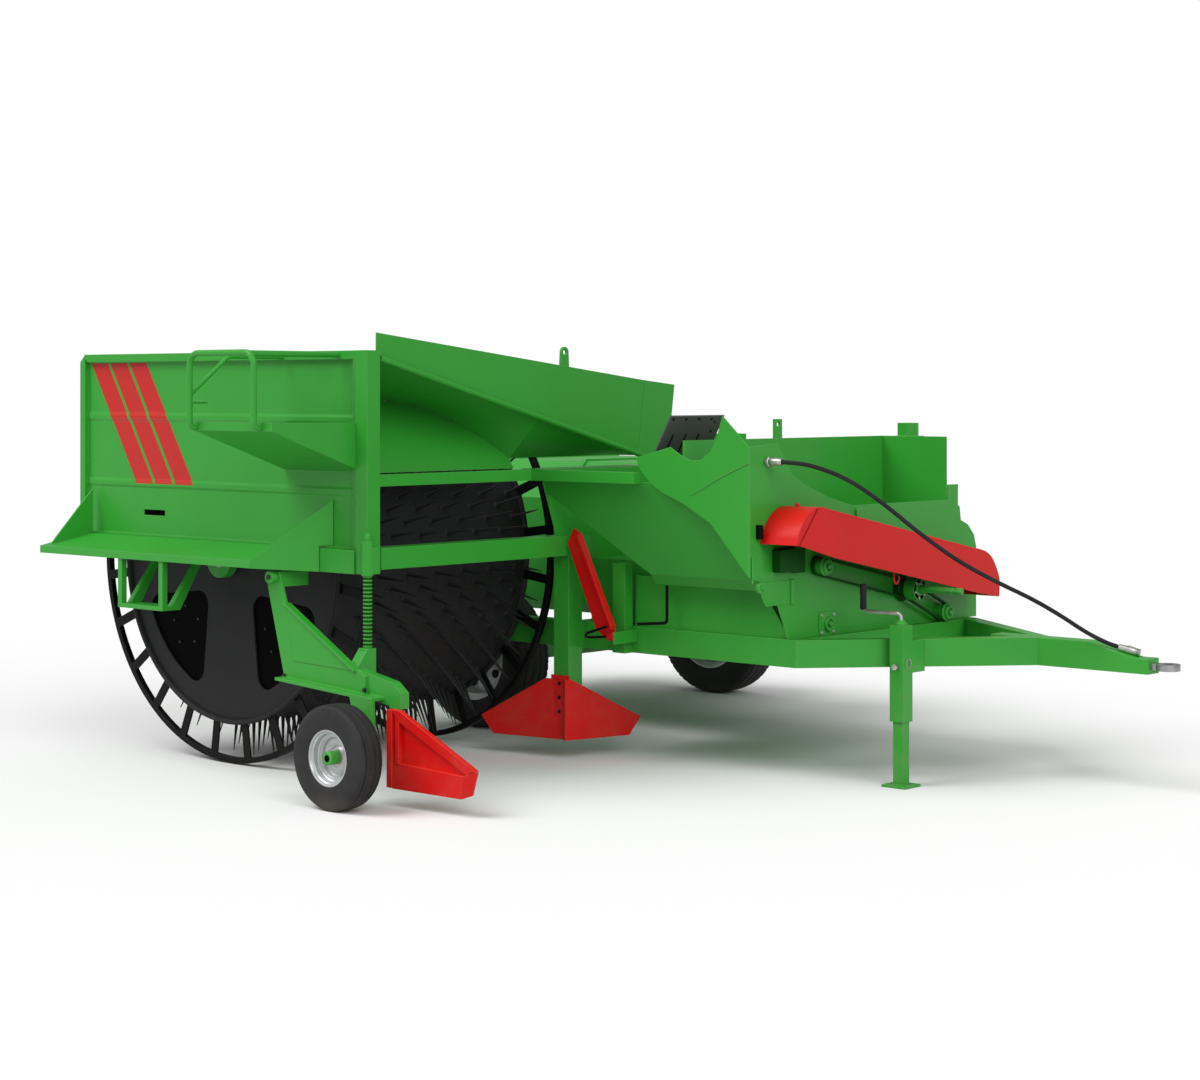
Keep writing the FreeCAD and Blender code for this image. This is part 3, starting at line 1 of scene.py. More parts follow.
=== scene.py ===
# %% [markdown]
# # A towed melon harvester, dressed for the camera
# The machine arrives as a fixed frame of steel parts that were drawn in CAD. This lesson gives
# the parts their paint, rubber and bare metal, and adds what a drawing office leaves to the
# workshop: tyre tread, wheel nuts, bolts, the drum's window covers, the hose, pins and grips.

# %% Load the frame
import json
import bpy
import bmesh
import numpy as np
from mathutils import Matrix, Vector


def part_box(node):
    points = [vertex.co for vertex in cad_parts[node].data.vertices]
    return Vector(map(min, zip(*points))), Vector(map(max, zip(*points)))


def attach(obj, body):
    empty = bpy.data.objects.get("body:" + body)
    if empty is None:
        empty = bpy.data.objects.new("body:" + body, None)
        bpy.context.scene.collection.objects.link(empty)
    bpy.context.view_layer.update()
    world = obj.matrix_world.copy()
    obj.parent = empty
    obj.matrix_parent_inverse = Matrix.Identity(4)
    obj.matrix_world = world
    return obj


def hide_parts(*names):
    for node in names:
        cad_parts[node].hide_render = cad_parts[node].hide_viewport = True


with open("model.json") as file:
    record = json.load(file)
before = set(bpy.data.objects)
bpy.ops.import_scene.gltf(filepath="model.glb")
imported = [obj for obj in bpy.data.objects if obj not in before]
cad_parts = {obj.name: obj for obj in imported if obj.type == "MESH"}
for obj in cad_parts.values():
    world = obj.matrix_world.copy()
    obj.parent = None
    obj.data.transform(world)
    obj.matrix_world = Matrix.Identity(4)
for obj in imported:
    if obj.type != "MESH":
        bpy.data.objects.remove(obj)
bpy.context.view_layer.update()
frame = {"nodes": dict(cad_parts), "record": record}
scene = bpy.context.scene

# %% [markdown]
# The drawing measures everything in millimetres from a point on the ground under the right
# wheel, while Blender's frame has its origin in the middle of the footprint and counts in
# metres. One small function moves a drawing place into Blender's frame, for one place or for a
# whole array of them.

# %% Drawing places to metres
DATUM = np.array([1305.0, -168.5, 0.0])


def spot(*place):
    """(drawing millimetres - datum) / 1000; the last axis holds x, y, z."""
    return (np.array(place, float).reshape(-1, 3) - DATUM) / 1000.0


print("tow eye at", spot(3855, 435, 585).round(3))

# %% [markdown]
# The camera stands as high as a tall person's eyes in front of the machine's right corner and
# looks level, so upright posts stay upright. A small shift frames the machine without tilting
# the camera.

# %% Camera
lens = bpy.data.cameras.new("camera")
lens.lens = 72.5
lens.sensor_width = 36.0
lens.sensor_fit = "HORIZONTAL"
lens.shift_y = -0.1255
camera = bpy.data.objects.new("camera", lens)
camera.location = (7.968, -9.3055, 1.85)
camera.rotation_euler = np.radians((90.0, 0.0, 41.9))
scene.collection.objects.link(camera)
scene.camera = camera
print("camera at", tuple(round(v, 2) for v in camera.location))

# %% [markdown]
# The hydraulic hose is stiff rubber with a steel braid inside, so it leaves its fitting
# straight, sags in one long curve and comes to rest with its coupler on the tongue. A NURBS
# spline through a few control points bends just as smoothly, and a round bevel gives it its
# thickness.

# %% Hydraulic hose
HOSE_ROUTE = spot(
    (2426, -645, 1516), (2528, -645, 1516), (2630, -602, 1500), (2740, -480, 1436),
    (2840, -340, 1318), (2935, -210, 1188), (3065, -90, 1060), (3205, 25, 962),
    (3322, 140, 885), (3414, 240, 806), (3478, 322, 738), (3530, 372, 698),
    (3584, 410, 668.7), (3646, 432, 652.5))
HOSE_WIDE = 0.020
hose_line = bpy.data.curves.new("hose", "CURVE")
hose_line.dimensions = "3D"
hose_line.bevel_depth = 1.0
hose_line.bevel_resolution = 5
hose_line.use_fill_caps = True
hose_line.resolution_u = 14
run = hose_line.splines.new("NURBS")
run.points.add(len(HOSE_ROUTE) - 1)
run.points.foreach_set("co", np.c_[HOSE_ROUTE, np.ones(len(HOSE_ROUTE))].ravel())
run.points.foreach_set("radius", np.full(len(HOSE_ROUTE), HOSE_WIDE / 2))
run.order_u = 3
run.use_endpoint_u = True
hose = bpy.data.objects.new("hose", hose_line)
scene.collection.objects.link(hose)
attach(hose, "chassis")
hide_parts("hydraulic_hose")
print("hose control points:", len(HOSE_ROUTE))

# %% [markdown]
# ## Tools for making surfaces
# Every added piece is a grid of points worked out with numpy and handed to the mesh in one go.
# The grid's two directions are the surface's two parameters: round and along for a turned part,
# along and round for a tube. Joining doubled points closes seams and poles, and recalculating
# the normals once the shell is closed makes every face look outwards.

# %% A mesh from whole arrays
def make_mesh(name, points, faces, smooth=35.0):
    """Merge doubles, face outwards, shade smooth below an angle in degrees."""
    data = bpy.data.meshes.new(name)
    data.from_pydata(points.reshape(-1, 3).tolist(), [], faces)
    work = bmesh.new()
    work.from_mesh(data)
    bmesh.ops.remove_doubles(work, verts=work.verts, dist=1e-6)
    bmesh.ops.recalc_face_normals(work, faces=work.faces)
    work.to_mesh(data)
    work.free()
    data.shade_smooth()
    data.set_sharp_from_angle(angle=np.radians(smooth))
    piece = bpy.data.objects.new(name, data)
    scene.collection.objects.link(piece)
    return piece


def quads(rows, columns, wrap_rows=False, wrap_columns=False):
    """Corner indexes of the cells of a grid: (r, c), (r+1, c), (r+1, c+1), (r, c+1)."""
    r = np.arange(rows if wrap_rows else rows - 1)[:, None]
    c = np.arange(columns if wrap_columns else columns - 1)[None, :]
    r1, c1 = (r + 1) % rows, (c + 1) % columns
    return np.stack([r * columns + c, r1 * columns + c, r1 * columns + c1, r * columns + c1],
                    axis=-1).reshape(-1, 4)


def frame_of(direction):
    """Two unit vectors square to each direction: a helper crossed with it, then crossed again."""
    d = np.atleast_2d(direction).astype(float)
    d = d / np.linalg.norm(d, axis=1, keepdims=True)
    helper = np.where(np.abs(d[:, 2:3]) > 0.9, [[1.0, 0.0, 0.0]], [[0.0, 0.0, 1.0]])
    u = np.cross(helper, d)
    u = u / np.linalg.norm(u, axis=1, keepdims=True)
    return d, u, np.cross(d, u)


print("surface tools ready")

# %% [markdown]
# Three makers cover nearly every workshop piece. A turned part is a profile of (along, radius)
# pairs carried round an axis. A tube is a ring carried along a path. A plate is an outline
# pulled straight. Small round or six-sided parts, such as bolt heads, are one turned profile
# repeated at many places by broadcasting, so a hundred bolts are still one array.

# %% Turned parts, tubes, plates and repeated small parts
def turned(name, profile, centre, axis, steps=48, smooth=35.0):
    """point = centre + along * axis + radius * (cos t * u + sin t * v)."""
    along, radius = np.array(profile, float).T
    d, u, v = frame_of(axis)
    t = np.linspace(0, 2 * np.pi, steps, endpoint=False)[:, None, None]
    ring = np.cos(t) * u + np.sin(t) * v
    grid = np.ravel(centre) + along[None, :, None] * d + radius[None, :, None] * ring
    closed = bool(abs(radius[0]) > 1e-9)
    cells = quads(steps, len(along), wrap_rows=True, wrap_columns=closed)
    return make_mesh(name, grid, cells.tolist(), smooth)


def rounded(path, radius, steps=8):
    """Cut each inner corner c at `radius` from it; bridge it with (1-t)^2 a + 2t(1-t) c + t^2 b."""
    p = np.array(path, float)
    into, out = p[1:-1] - p[:-2], p[2:] - p[1:-1]
    short = 0.49 * np.minimum(np.linalg.norm(into, axis=1), np.linalg.norm(out, axis=1))
    reach = np.minimum(radius, short)[:, None]
    a = p[1:-1] - into / np.linalg.norm(into, axis=1, keepdims=True) * reach
    b = p[1:-1] + out / np.linalg.norm(out, axis=1, keepdims=True) * reach
    t = np.linspace(0, 1, steps)[None, :, None]
    bends = (1 - t) ** 2 * a[:, None] + 2 * t * (1 - t) * p[1:-1, None] + t ** 2 * b[:, None]
    return np.vstack([p[:1], bends.reshape(-1, 3), p[-1:]])


def tube(name, path, radius, side, steps=16):
    """Ring across the path's tangent, set out with one fixed side vector; capped at both ends."""
    p = np.array(path, float)
    tangent = np.gradient(p, axis=0)
    tangent /= np.linalg.norm(tangent, axis=1, keepdims=True)
    u = np.cross(tangent, np.array(side, float))
    u /= np.linalg.norm(u, axis=1, keepdims=True)
    v = np.cross(tangent, u)
    t = np.linspace(0, 2 * np.pi, steps, endpoint=False)[None, :, None]
    size = np.broadcast_to(np.asarray(radius, float), (len(p),))[:, None, None]
    grid = p[:, None] + size * (np.cos(t) * u[:, None] + np.sin(t) * v[:, None])
    cells = quads(len(p), steps, wrap_columns=True).tolist()
    last = (len(p) - 1) * steps
    caps = [list(range(steps)), list(range(last, last + steps))]
    return make_mesh(name, grid, cells + caps)


def plate(name, outline, along, bevel=0.0015):
    """A closed outline (n, 3) and the same one moved by the vector `along`; edges rounded."""
    low = np.array(outline, float)
    count = len(low)
    points = np.vstack([low, low + np.ravel(along)])
    sides = quads(2, count, wrap_columns=True).tolist()
    faces = sides + [list(range(count)), list(range(count, 2 * count))]
    piece = make_mesh(name, points, faces, smooth=30.0)
    if bevel:
        edge = piece.modifiers.new("edge", "BEVEL")
        edge.width = bevel
        edge.segments = 2
        edge.limit_method = "ANGLE"
    return piece


def repeated(name, profile, places, directions, sides=6):
    """One small turned profile at every place: places + along * d + radius * ring."""
    along, radius = np.array(profile, float).T
    p = np.atleast_2d(places)
    d, u, v = frame_of(np.broadcast_to(directions, p.shape))
    t = np.linspace(0, 2 * np.pi, sides, endpoint=False)[None, :, None, None]
    ring = np.cos(t) * u[:, None, None] + np.sin(t) * v[:, None, None]
    grid = p[:, None, None] + along[None, None, :, None] * d[:, None, None] \
        + radius[None, None, :, None] * ring
    one = quads(sides, len(along), wrap_rows=True)
    cells = (one[None] + (np.arange(len(p)) * sides * len(along))[:, None, None]).reshape(-1, 4)
    return make_mesh(name, grid, cells.tolist(), smooth=30.0)


def bolt_profile(size, height):
    """Hexagon head with a washer under it and a chamfer on top; closed at both poles."""
    w = size * 0.62
    return [(0, 0), (0, w * 1.25), (height * 0.22, w * 1.25), (height * 0.22, w),
            (height * 0.85, w), (height, w * 0.82), (height, 0)]


print("makers: turned, tube, plate, repeated")

# %% [markdown]
# ## Paint as arithmetic
# A shader is a sum of small decisions: how far from an edge, how high above the ground, how
# cloudy the colour. Written as Python expressions these stay readable. One class wraps a socket
# and turns +, -, *, < and > into Math nodes; any other node comes from one method that sets the
# node up and plugs it in.

# %% Shader maths
class Wire:
    """An output socket that can be used in Python arithmetic."""

    def __init__(self, finish, socket):
        self.finish = finish
        self.socket = socket

    def _maths(self, operation, first, second):
        return self.finish.add("ShaderNodeMath", {"operation": operation}, {0: first, 1: second})

    def __add__(self, other):
        return self._maths("ADD", self, other)

    def __sub__(self, other):
        return self._maths("SUBTRACT", self, other)

    def __rsub__(self, other):
        return self._maths("SUBTRACT", other, self)

    def __mul__(self, other):
        return self._maths("MULTIPLY", self, other)

    def __lt__(self, other):
        return self._maths("LESS_THAN", self, other)

    def __gt__(self, other):
        return self._maths("GREATER_THAN", self, other)

    __radd__ = __add__
    __rmul__ = __mul__


class Finish:
    """A material with its principled surface and a method that adds any node."""

    def __init__(self, name):
        self.material = bpy.data.materials.new(name)
        self.material.use_nodes = True
        self.tree = self.material.node_tree
        self.surface = self.tree.nodes["Principled BSDF"]
        self.here = self.add("ShaderNodeTexCoord", {}, {}, out="Object")

    def plug(self, socket, value):
        if isinstance(value, Wire):
            self.tree.links.new(value.socket, socket)
        else:
            socket.default_value = value

    def add(self, kind, settings, inputs, out=0):
        """Make a node, apply its settings, plug its inputs and return one output as a Wire."""
        node = self.tree.nodes.new(kind)
        for key, value in settings.items():
            setattr(node, key, value)
        for key, value in inputs.items():
            self.plug(node.inputs[key], value)
        return Wire(self, node.outputs[out])

    def noise(self, scale, detail, roughness=0.55, where=None):
        return self.add("ShaderNodeTexNoise", {}, {"Vector": where or self.here, "Scale": scale,
                                                   "Detail": detail, "Roughness": roughness})

    def blend(self, share, first, second):
        """Colour mix: first where share is 0, second where it is 1."""
        return self.add("ShaderNodeMix", {"data_type": "RGBA", "clamp_factor": True},
                        {0: share, 6: first, 7: second}, out=2)

    def between(self, value, low, high):
        """0 below low, 1 above high, a smooth step between."""
        return self.add("ShaderNodeMapRange", {"interpolation_type": "SMOOTHSTEP"},
                        {"Value": value, "From Min": low, "From Max": high})

    def axis(self, letter):
        return self.add("ShaderNodeSeparateXYZ", {}, {0: self.here}, out=letter)

    def bump(self, height, distance, strength, over=None):
        inputs = {"Height": height, "Distance": distance, "Strength": strength}
        if over is not None:
            inputs["Normal"] = over
        return self.add("ShaderNodeBump", {}, inputs)

    def edges(self, radius, gain):
        """Rounded normals, and a mask that is 1 where rounded and true normals part: on edges."""
        soft = self.add("ShaderNodeBevel", {"samples": 4}, {"Radius": radius})
        true = self.add("ShaderNodeNewGeometry", {}, {}, out="Normal")
        match = self.add("ShaderNodeVectorMath", {"operation": "DOT_PRODUCT"}, {0: soft, 1: true},
                         out="Value")
        return soft, self.between(1.0 - match, 0.0, gain)

    def set(self, **inputs):
        for key, value in inputs.items():
            self.plug(self.surface.inputs[key.replace("_", " ")], value)
        return self.material


print("shader tools ready")

# %% [markdown]
# ## Finishes
# Machine enamel is not one flat colour. It is a little cloudy from the spray gun, has a faint
# orange peel, runs slightly thin and pale over sharp edges, a paleness that is partly wear and
# partly a painted highlight, and picks up a breath of dust low down. One function makes such an
# enamel in any colour, so all the green sheets age alike.

# %% Enamel
def linear(red, green, blue):
    """Screen values 0-255 to linear light: ((c + 0.055) / 1.055) ^ 2.4 above the toe."""
    c = np.array([red, green, blue]) / 255.0
    light = np.where(c > 0.04045, ((c + 0.055) / 1.055) ** 2.4, c / 12.92)
    return (*light.tolist(), 1.0)


def toned(colour, factor):
    """The colour's three values times a factor, none over 1."""
    return tuple(min(1.0, v * factor) for v in colour[:3]) + (1.0,)


def enamel(name, colour, pale, dusty=0.25, rough=0.36, cloud=0.10, gloss=0.32, second=None,
           metal=0.0, wear_and_highlight=0.55, sag=(7.0, 0.004, 0.10)):
    """Spray-painted steel: cloudy tone, orange peel, pale edges that are part wear and part painted
    highlight, and dust near the ground.
    `second` is a colour and a function that gives its mask; `sag` is the scale, height and strength
    of the sheet's slow waves."""
    paint = Finish(name)
    soft, edge = paint.edges(0.004, 0.05)
    mist = paint.noise(1.4, 4.0)
    flecks = paint.noise(9.0, 5.0, 0.65)
    tone = paint.blend(mist, toned(colour, 1 - cloud), toned(colour, 1 + cloud))
    if second:
        tone = paint.blend(second[1](paint), tone, second[0])
    # Pale edges: part paint rubbed thin, part painted highlight where the edges catch the light.
    worn_and_highlit = paint.blend(edge * wear_and_highlight * (0.4 + flecks), tone, pale)
    low = (1.0 - paint.between(paint.axis("Z"), 0.05, 0.75)) * paint.between(flecks, 0.35, 0.75)
    dust = paint.blend(low * dusty, worn_and_highlit, linear(150, 138, 112))
    peel = paint.bump(paint.noise(260.0, 2.0), 0.0004, 0.35, over=soft)
    wave, height, strength = sag
    waves = paint.bump(paint.noise(wave, 2.0), height, strength, over=peel)
    return paint.set(Base_Color=dust, Roughness=rough + 0.10 * flecks + 0.25 * (low * dusty),
                     Normal=waves, Metallic=metal, Specular_IOR_Level=gloss,
                     Coat_Weight=gloss * 0.25, Coat_Roughness=0.12)


GREEN, PALE_GREEN = linear(54, 162, 52), linear(120, 196, 112)
green_paint = enamel("green_enamel", GREEN, PALE_GREEN)
red_paint = enamel("red_enamel", linear(218, 20, 18), linear(240, 84, 70), dusty=0.10, cloud=0.04,
                   gloss=0.22)
charcoal = enamel("charcoal_enamel", linear(42, 42, 43), linear(72, 72, 72), dusty=0.02, rough=0.56,
                  gloss=0.16)
black_paint = enamel("black_enamel", linear(9, 9, 10), linear(36, 36, 36), dusty=0.06, rough=0.58,
                     gloss=0.10)
# Near-black and almost without shine: the covers' own black together with painted shade of the
# window recesses and of the gauge hub's hole.
pitch_shade_paint = enamel("pitch_shade_enamel", linear(3, 3, 4), linear(20, 20, 20), dusty=0.0, rough=0.62,
                     gloss=0.03)
deep_green = enamel("deep_green_enamel", linear(10, 76, 12), linear(30, 110, 30), dusty=0.05,
                    rough=0.52, gloss=0.10)
# Darker red for the guard's seam: painted shade along the fold.
seam_shade_red = enamel("seam_shade_enamel", linear(150, 4, 6), linear(190, 30, 30), dusty=0.05, gloss=0.15)
DRUM_AXIS = spot(-62, -1170, 1014)[0].tolist()
DISC_EDGE = 0.812


def beyond_disc(paint):
    """1 where (x - axis x)^2 + (z - axis z)^2 is over the square of the disc's edge radius."""
    x, z = paint.axis("X") - DRUM_AXIS[0], paint.axis("Z") - DRUM_AXIS[2]
    return (x * x + z * z) > DISC_EDGE ** 2


drum_end_paint = enamel("drum_end_enamel", linear(42, 42, 43), linear(66, 66, 66), dusty=0.02,
                        rough=0.56, gloss=0.14, second=(linear(8, 8, 9), beyond_disc))
grey_paint = enamel("grey_enamel", linear(80, 80, 80), linear(140, 140, 140), rough=0.5)
silver_paint = enamel("silver_enamel", linear(196, 198, 200), linear(236, 236, 238), dusty=0.35,
                      rough=0.30, metal=0.55)
print("enamels:", [m.name for m in bpy.data.materials if "enamel" in m.name])

# %% [markdown]
# The side panel carries three slanted red bands. On the real machine they are painted through a
# mask, so here they are a mask too: a band is where a sheared coordinate, x - slope * z, lies
# between two values, and the mask picks the colour. The step is hard, as masking tape leaves it.
# The rest is the same enamel, only without dust and with longer waves, because the sheet is
# large and thin.

# %% Side panel with its bands
BAND_TOP, BAND_LOW = spot((-1060, -1903, 1985), (-680, -1903, 1374)).tolist()
BAND_PITCH, BAND_WIDE = 0.160, 0.139


def bands(paint):
    """1 where pitch * k < x - slope * z < pitch * k + width for k = 0, 1, 2, on the outer face."""
    x, y, z = paint.axis("X"), paint.axis("Y"), paint.axis("Z")
    slope = (BAND_LOW[0] - BAND_TOP[0]) / (BAND_LOW[2] - BAND_TOP[2])
    run = x - (z - BAND_TOP[2]) * slope - BAND_TOP[0]
    stripes = sum((run > BAND_PITCH * k) * (run < BAND_PITCH * k + BAND_WIDE) for k in range(3))
    return stripes * (z < BAND_TOP[2]) * (z > BAND_LOW[2]) * (y < BAND_TOP[1])


panel_paint = enamel("panel_enamel", GREEN, PALE_GREEN, dusty=0.0, rough=0.34, cloud=0.08,
                     second=(linear(204, 34, 28), bands), wear_and_highlight=0.5, sag=(3.0, 0.006, 0.12))
print("bands painted on", panel_paint.name)

# %% [markdown]
# Rubber is dark and matt with a grey bloom where it has been handled and dust in its grooves.
# Bare steel is the opposite: its colour is all reflection, so roughness carries the turning
# marks.

# %% Rubber, steel and zinc
def rubber(name, dark, bloom, height):
    skin = Finish(name)
    cloud = skin.noise(6.0, 5.0, 0.6)
    grit = skin.noise(140.0, 3.0)
    low = 1.0 - skin.between(skin.axis("Z"), 0.0, height)
    tone = skin.blend(skin.between(cloud, 0.35, 0.75) * 0.6, dark, bloom)
    dusty = skin.blend(low * cloud * 0.35, tone, linear(128, 118, 98))
    return skin.set(Base_Color=dusty, Roughness=0.62 + 0.2 * cloud,
                    Normal=skin.bump(grit, 0.0006, 0.5), Specular_IOR_Level=0.35)


def bare_steel(name, light, dark, rough=0.28):
    metal = Finish(name)
    stretched = metal.add("ShaderNodeMapping", {},
                          {"Vector": metal.here, "Scale": (6.0, 40.0, 240.0)})
    grain = metal.noise(3.0, 4.0, where=stretched)
    stain = metal.noise(14.0, 5.0, 0.6)
    tone = metal.blend(metal.between(stain, 0.4, 0.8), light, dark)
    return metal.set(Base_Color=tone, Metallic=1.0, Roughness=rough + 0.22 * grain,
                     Normal=metal.bump(grain, 0.0003, 0.3))


tyre_rubber = rubber("tyre_rubber", linear(34, 34, 35), linear(58, 57, 56), 0.10)
hose_rubber = rubber("hose_rubber", linear(20, 20, 21), linear(44, 44, 45), 0.02)
grip_rubber = rubber("grip_rubber", linear(18, 18, 19), linear(40, 40, 40), 0.02)
steel = bare_steel("turned_steel", linear(176, 176, 178), linear(120, 118, 116))
zinc = bare_steel("zinc_plate", linear(196, 196, 190), linear(150, 148, 140), 0.34)
dark_steel = bare_steel("black_steel", linear(70, 70, 72), linear(44, 44, 46), 0.42)
print("metals and rubbers ready")

# %% [markdown]
# The frame's own steel parts keep their shape and only change their finish. A table by slot
# covers nearly all of them, and a few parts, such as the panel with its bands, name their own.

# %% Finishes on the frame's parts
BY_SLOT = {"green_paint": green_paint, "red_paint": red_paint, "black_paint": black_paint,
           "bare_steel": steel, "tyre": tyre_rubber, "silver_rim": silver_paint,
           "hose_rubber": hose_rubber, "grey_plate": grey_paint}
BY_NODE = {"side_panel": panel_paint, "drum_shell": charcoal, "drum_end_rings": drum_end_paint,
           "drive_chains": deep_green, "jack_crank": zinc}
slots = {row["node"]: row["material_slot"] for row in frame["record"]["subparts"]}
for node, body_part in frame["nodes"].items():
    chosen = BY_NODE.get(node, BY_SLOT[slots[node]])
    for slot in body_part.material_slots:
        slot.material = chosen
print("finished", len(slots), "parts")

# %% [markdown]
# ## Adding a piece
# Each added piece needs a finish and the body that it travels with, and each call also names the
# record's slot that its finish comes from. The drum's bolts must turn with the drum and the wheel
# nuts with their wheel, so riding is part of making.

# %% Finish and ride in one call
def fit(piece, body, finish, slot, replaces=()):
    """Give a piece its material and let it travel with a body; `slot` is not used."""
    piece.data.materials.clear()
    piece.data.materials.append(finish)
    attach(piece, body)
    if replaces:
        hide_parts(*replaces)
    return piece


hose.data.materials.clear()
hose.data.materials.append(hose_rubber)
print("fit() ready")

# %% [markdown]
# A farm trailer tyre is a rounded square in section, with a crown that carries grooves all round
# and short cuts across its shoulders, and a sidewall with raised rings. The small gauge wheel's
# tyre has the grooves alone. The section is one smooth profile, carried round the axle; the
# grooves are taken off the radius where the crown is, so tread and casing are one surface.

# %% Tyres
RIM_SHARE = {"right_wheel_tyre": 234 / 386, "left_wheel_tyre": 234 / 386,
             "gauge_wheel_tyre": 126 / 234}
GROOVES = np.array([-0.30, -0.10, 0.10, 0.30])
STATIONS, TURN_STEPS = 97, 240
GROOVE_DEEP, CUT_DEEP = 0.010, 0.006


def tyre(name, node, body, cuts):
    """radius(s, t) = profile(s) - grooves(y) - shoulder cuts(y, t); s across, t round."""
    low, high = (np.array(c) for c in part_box(node))
    middle = (low + high) / 2
    wide, outer = high[1] - low[1], (high[2] - low[2]) / 2
    rim = outer * RIM_SHARE[node]
    tall = outer - rim
    knots = np.array([(-0.45, 0.0), (-0.485, 0.12), (-0.5, 0.35), (-0.5, 0.55), (-0.49, 0.72),
                      (-0.455, 0.88), (-0.40, 0.955), (-0.30, 0.985), (-0.15, 0.998), (0.0, 1.0)])
    knots = np.vstack([knots, knots[-2::-1] * (-1, 1)])
    s = np.linspace(0, 1, STATIONS)
    at = np.linspace(0, 1, len(knots))
    y = np.interp(s, at, knots[:, 0])
    r = np.interp(s, at, knots[:, 1])
    soften = np.array([1, 2, 3, 2, 1]) / 9.0
    y[2:-2], r[2:-2] = np.convolve(y, soften, "valid"), np.convolve(r, soften, "valid")
    t = np.linspace(0, 2 * np.pi, TURN_STEPS, endpoint=False)[:, None]
    where = GROOVES[:, None] - y[None, :]
    groove = np.exp(-(where / 0.014) ** 4).sum(axis=0)
    shoulder = (np.abs(y) > 0.28) * (np.abs(y) < 0.47) * np.clip((r - 0.80) / 0.1, 0, 1)
    cut = np.clip(np.cos(t * cuts + 3.0 * np.sign(y) + 6 * y) * 4 - 2.6, 0, 1) * shoulder
    cut = cut * (cuts > 0)
    rings = np.exp(-((r - 0.30) / 0.02) ** 2) + np.exp(-((r - 0.62) / 0.012) ** 2)
    side = 0.502 * wide * np.sign(y) * np.minimum(1, np.abs(y) / 0.5)
    across = np.clip(side * (1 - 0.006 * (1 - rings) * (np.abs(y) > 0.46)), -wide / 2, wide / 2)
    radius = rim + tall * r - GROOVE_DEEP * groove - CUT_DEEP * cut
    grid = np.stack([middle[0] + radius * np.cos(t), middle[1] + across + 0 * t,
                     middle[2] + radius * np.sin(t)], axis=-1)
    cells = quads(TURN_STEPS, STATIONS, wrap_rows=True, wrap_columns=True).tolist()
    fit(make_mesh(name, grid, cells, smooth=50.0), body, tyre_rubber, "tyre", (node,))


for side in ("right_wheel", "left_wheel"):
    tyre(side + "_casing", side + "_tyre", side, cuts=64)
tyre("gauge_casing", "gauge_wheel_tyre", "gauge_wheel", cuts=0)
print("three tyres made")

# %% [markdown]
# The main rims keep their pressed shape from the frame, and their hardware makes them read as
# wheels: a ring of nuts, and thin black discs of painted shade for the hand holes in the dish,
# each one profile repeated on a circle.
# The small gauge wheel has a deep stepped dish of its own, turned from one profile, with a green
# hub tube in it.

# %% Wheel hardware
def circle(centre, radius, count, phase=0.0, axis="Y"):
    """Places on a circle about Y or X: centre + radius * (cos t, sin t)."""
    t = np.arange(count) * 2 * np.pi / count + phase
    c, s, o = radius * np.cos(t), radius * np.sin(t), 0 * t
    ring = {"Y": (c, o, s), "X": (o, c, s)}[axis]
    return np.ravel(centre) + np.stack(ring, axis=-1)


def disc(radius, thick):
    """Profile of a plain flat disc, closed at both poles."""
    return [(0, 0), (0, radius), (thick, radius), (thick, 0)]


STUDS, STUD_CIRCLE = 5, 0.105
HOLE_CIRCLE, HOLE_RADIUS = STUD_CIRCLE * 1.42, 0.02352
RIM_TO_TYRE = 0.88


def wheel_hardware(wheel, outward, stand):
    """Nuts, and black discs of painted shade for the hand holes, that stand `stand` half tyre
    widths out from the wheel's middle.
    """
    low, high = (np.array(c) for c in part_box(wheel + "_rim"))
    half = (high[1] - low[1]) / 2 / RIM_TO_TYRE
    way = np.array([0, outward, 0])
    face = (low + high) / 2 + way * half * stand
    fit(repeated(wheel + "_nuts", bolt_profile(0.021, 0.016), circle(face, STUD_CIRCLE, STUDS),
                 way), wheel, zinc, "bare_steel")
    # The hand holes are thin black discs: painted shade where the dish is cut through.
    fit(repeated(wheel + "_hand_hole_shade", disc(HOLE_RADIUS, 0.0012),
                 circle(face, HOLE_CIRCLE, STUDS, np.pi / STUDS), way, sides=20),
        wheel, black_paint, "black_paint")


wheel_hardware("right_wheel", -1, 0.42)
wheel_hardware("left_wheel", 1, 0.26)
gauge_low, gauge_high = (np.array(c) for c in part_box("gauge_wheel_rim"))
gauge_mid = (gauge_low + gauge_high) / 2
GAUGE_DISH = [(-0.014, 0.0), (-0.014, 0.080), (-0.048, 0.106), (-0.0585, 0.118),
              (-0.0592, 0.1255), (0.0592, 0.1255), (0.0592, 0.119), (0.0555, 0.1165),
              (0.050, 0.1150), (0.045, 0.108), (0.022, 0.106), (0.018, 0.101), (0.0175, 0.090),
              (0.012, 0.086), (-0.002, 0.084), (-0.005, 0.078), (-0.005, 0.052), (0.000, 0.046),
              (0.004, 0.040), (0.004, 0.0)]
dish = turned("gauge_dish", GAUGE_DISH, gauge_mid, (0, -1, 0), steps=96, smooth=30)
fit(dish, "gauge_wheel", silver_paint, "silver_rim", ("gauge_wheel_rim",))
hub_face = (gauge_mid[0], gauge_mid[1] - 0.062, gauge_mid[2])
hub_cap = turned("gauge_hub_cap", [(-0.060, 0), (-0.060, 0.030), (-0.003, 0.030), (0.0, 0.027),
                                   (0.0, 0.0)], hub_face, (0, -1, 0), smooth=30)
fit(hub_cap, "gauge_wheel", green_paint, "green_paint")
# A thin pitch-black disc on the hub's face is painted shade in place of the bolt hole.
hub_hole_shade = turned("gauge_hub_hole_shade", [(0.0, 0), (0.0, 0.016), (0.0015, 0.015), (0.0015, 0)], hub_face,
                 (0, -1, 0), smooth=30)
fit(hub_hole_shade, "gauge_wheel", pitch_shade_paint, "black_paint")
print("wheel hardware fitted")
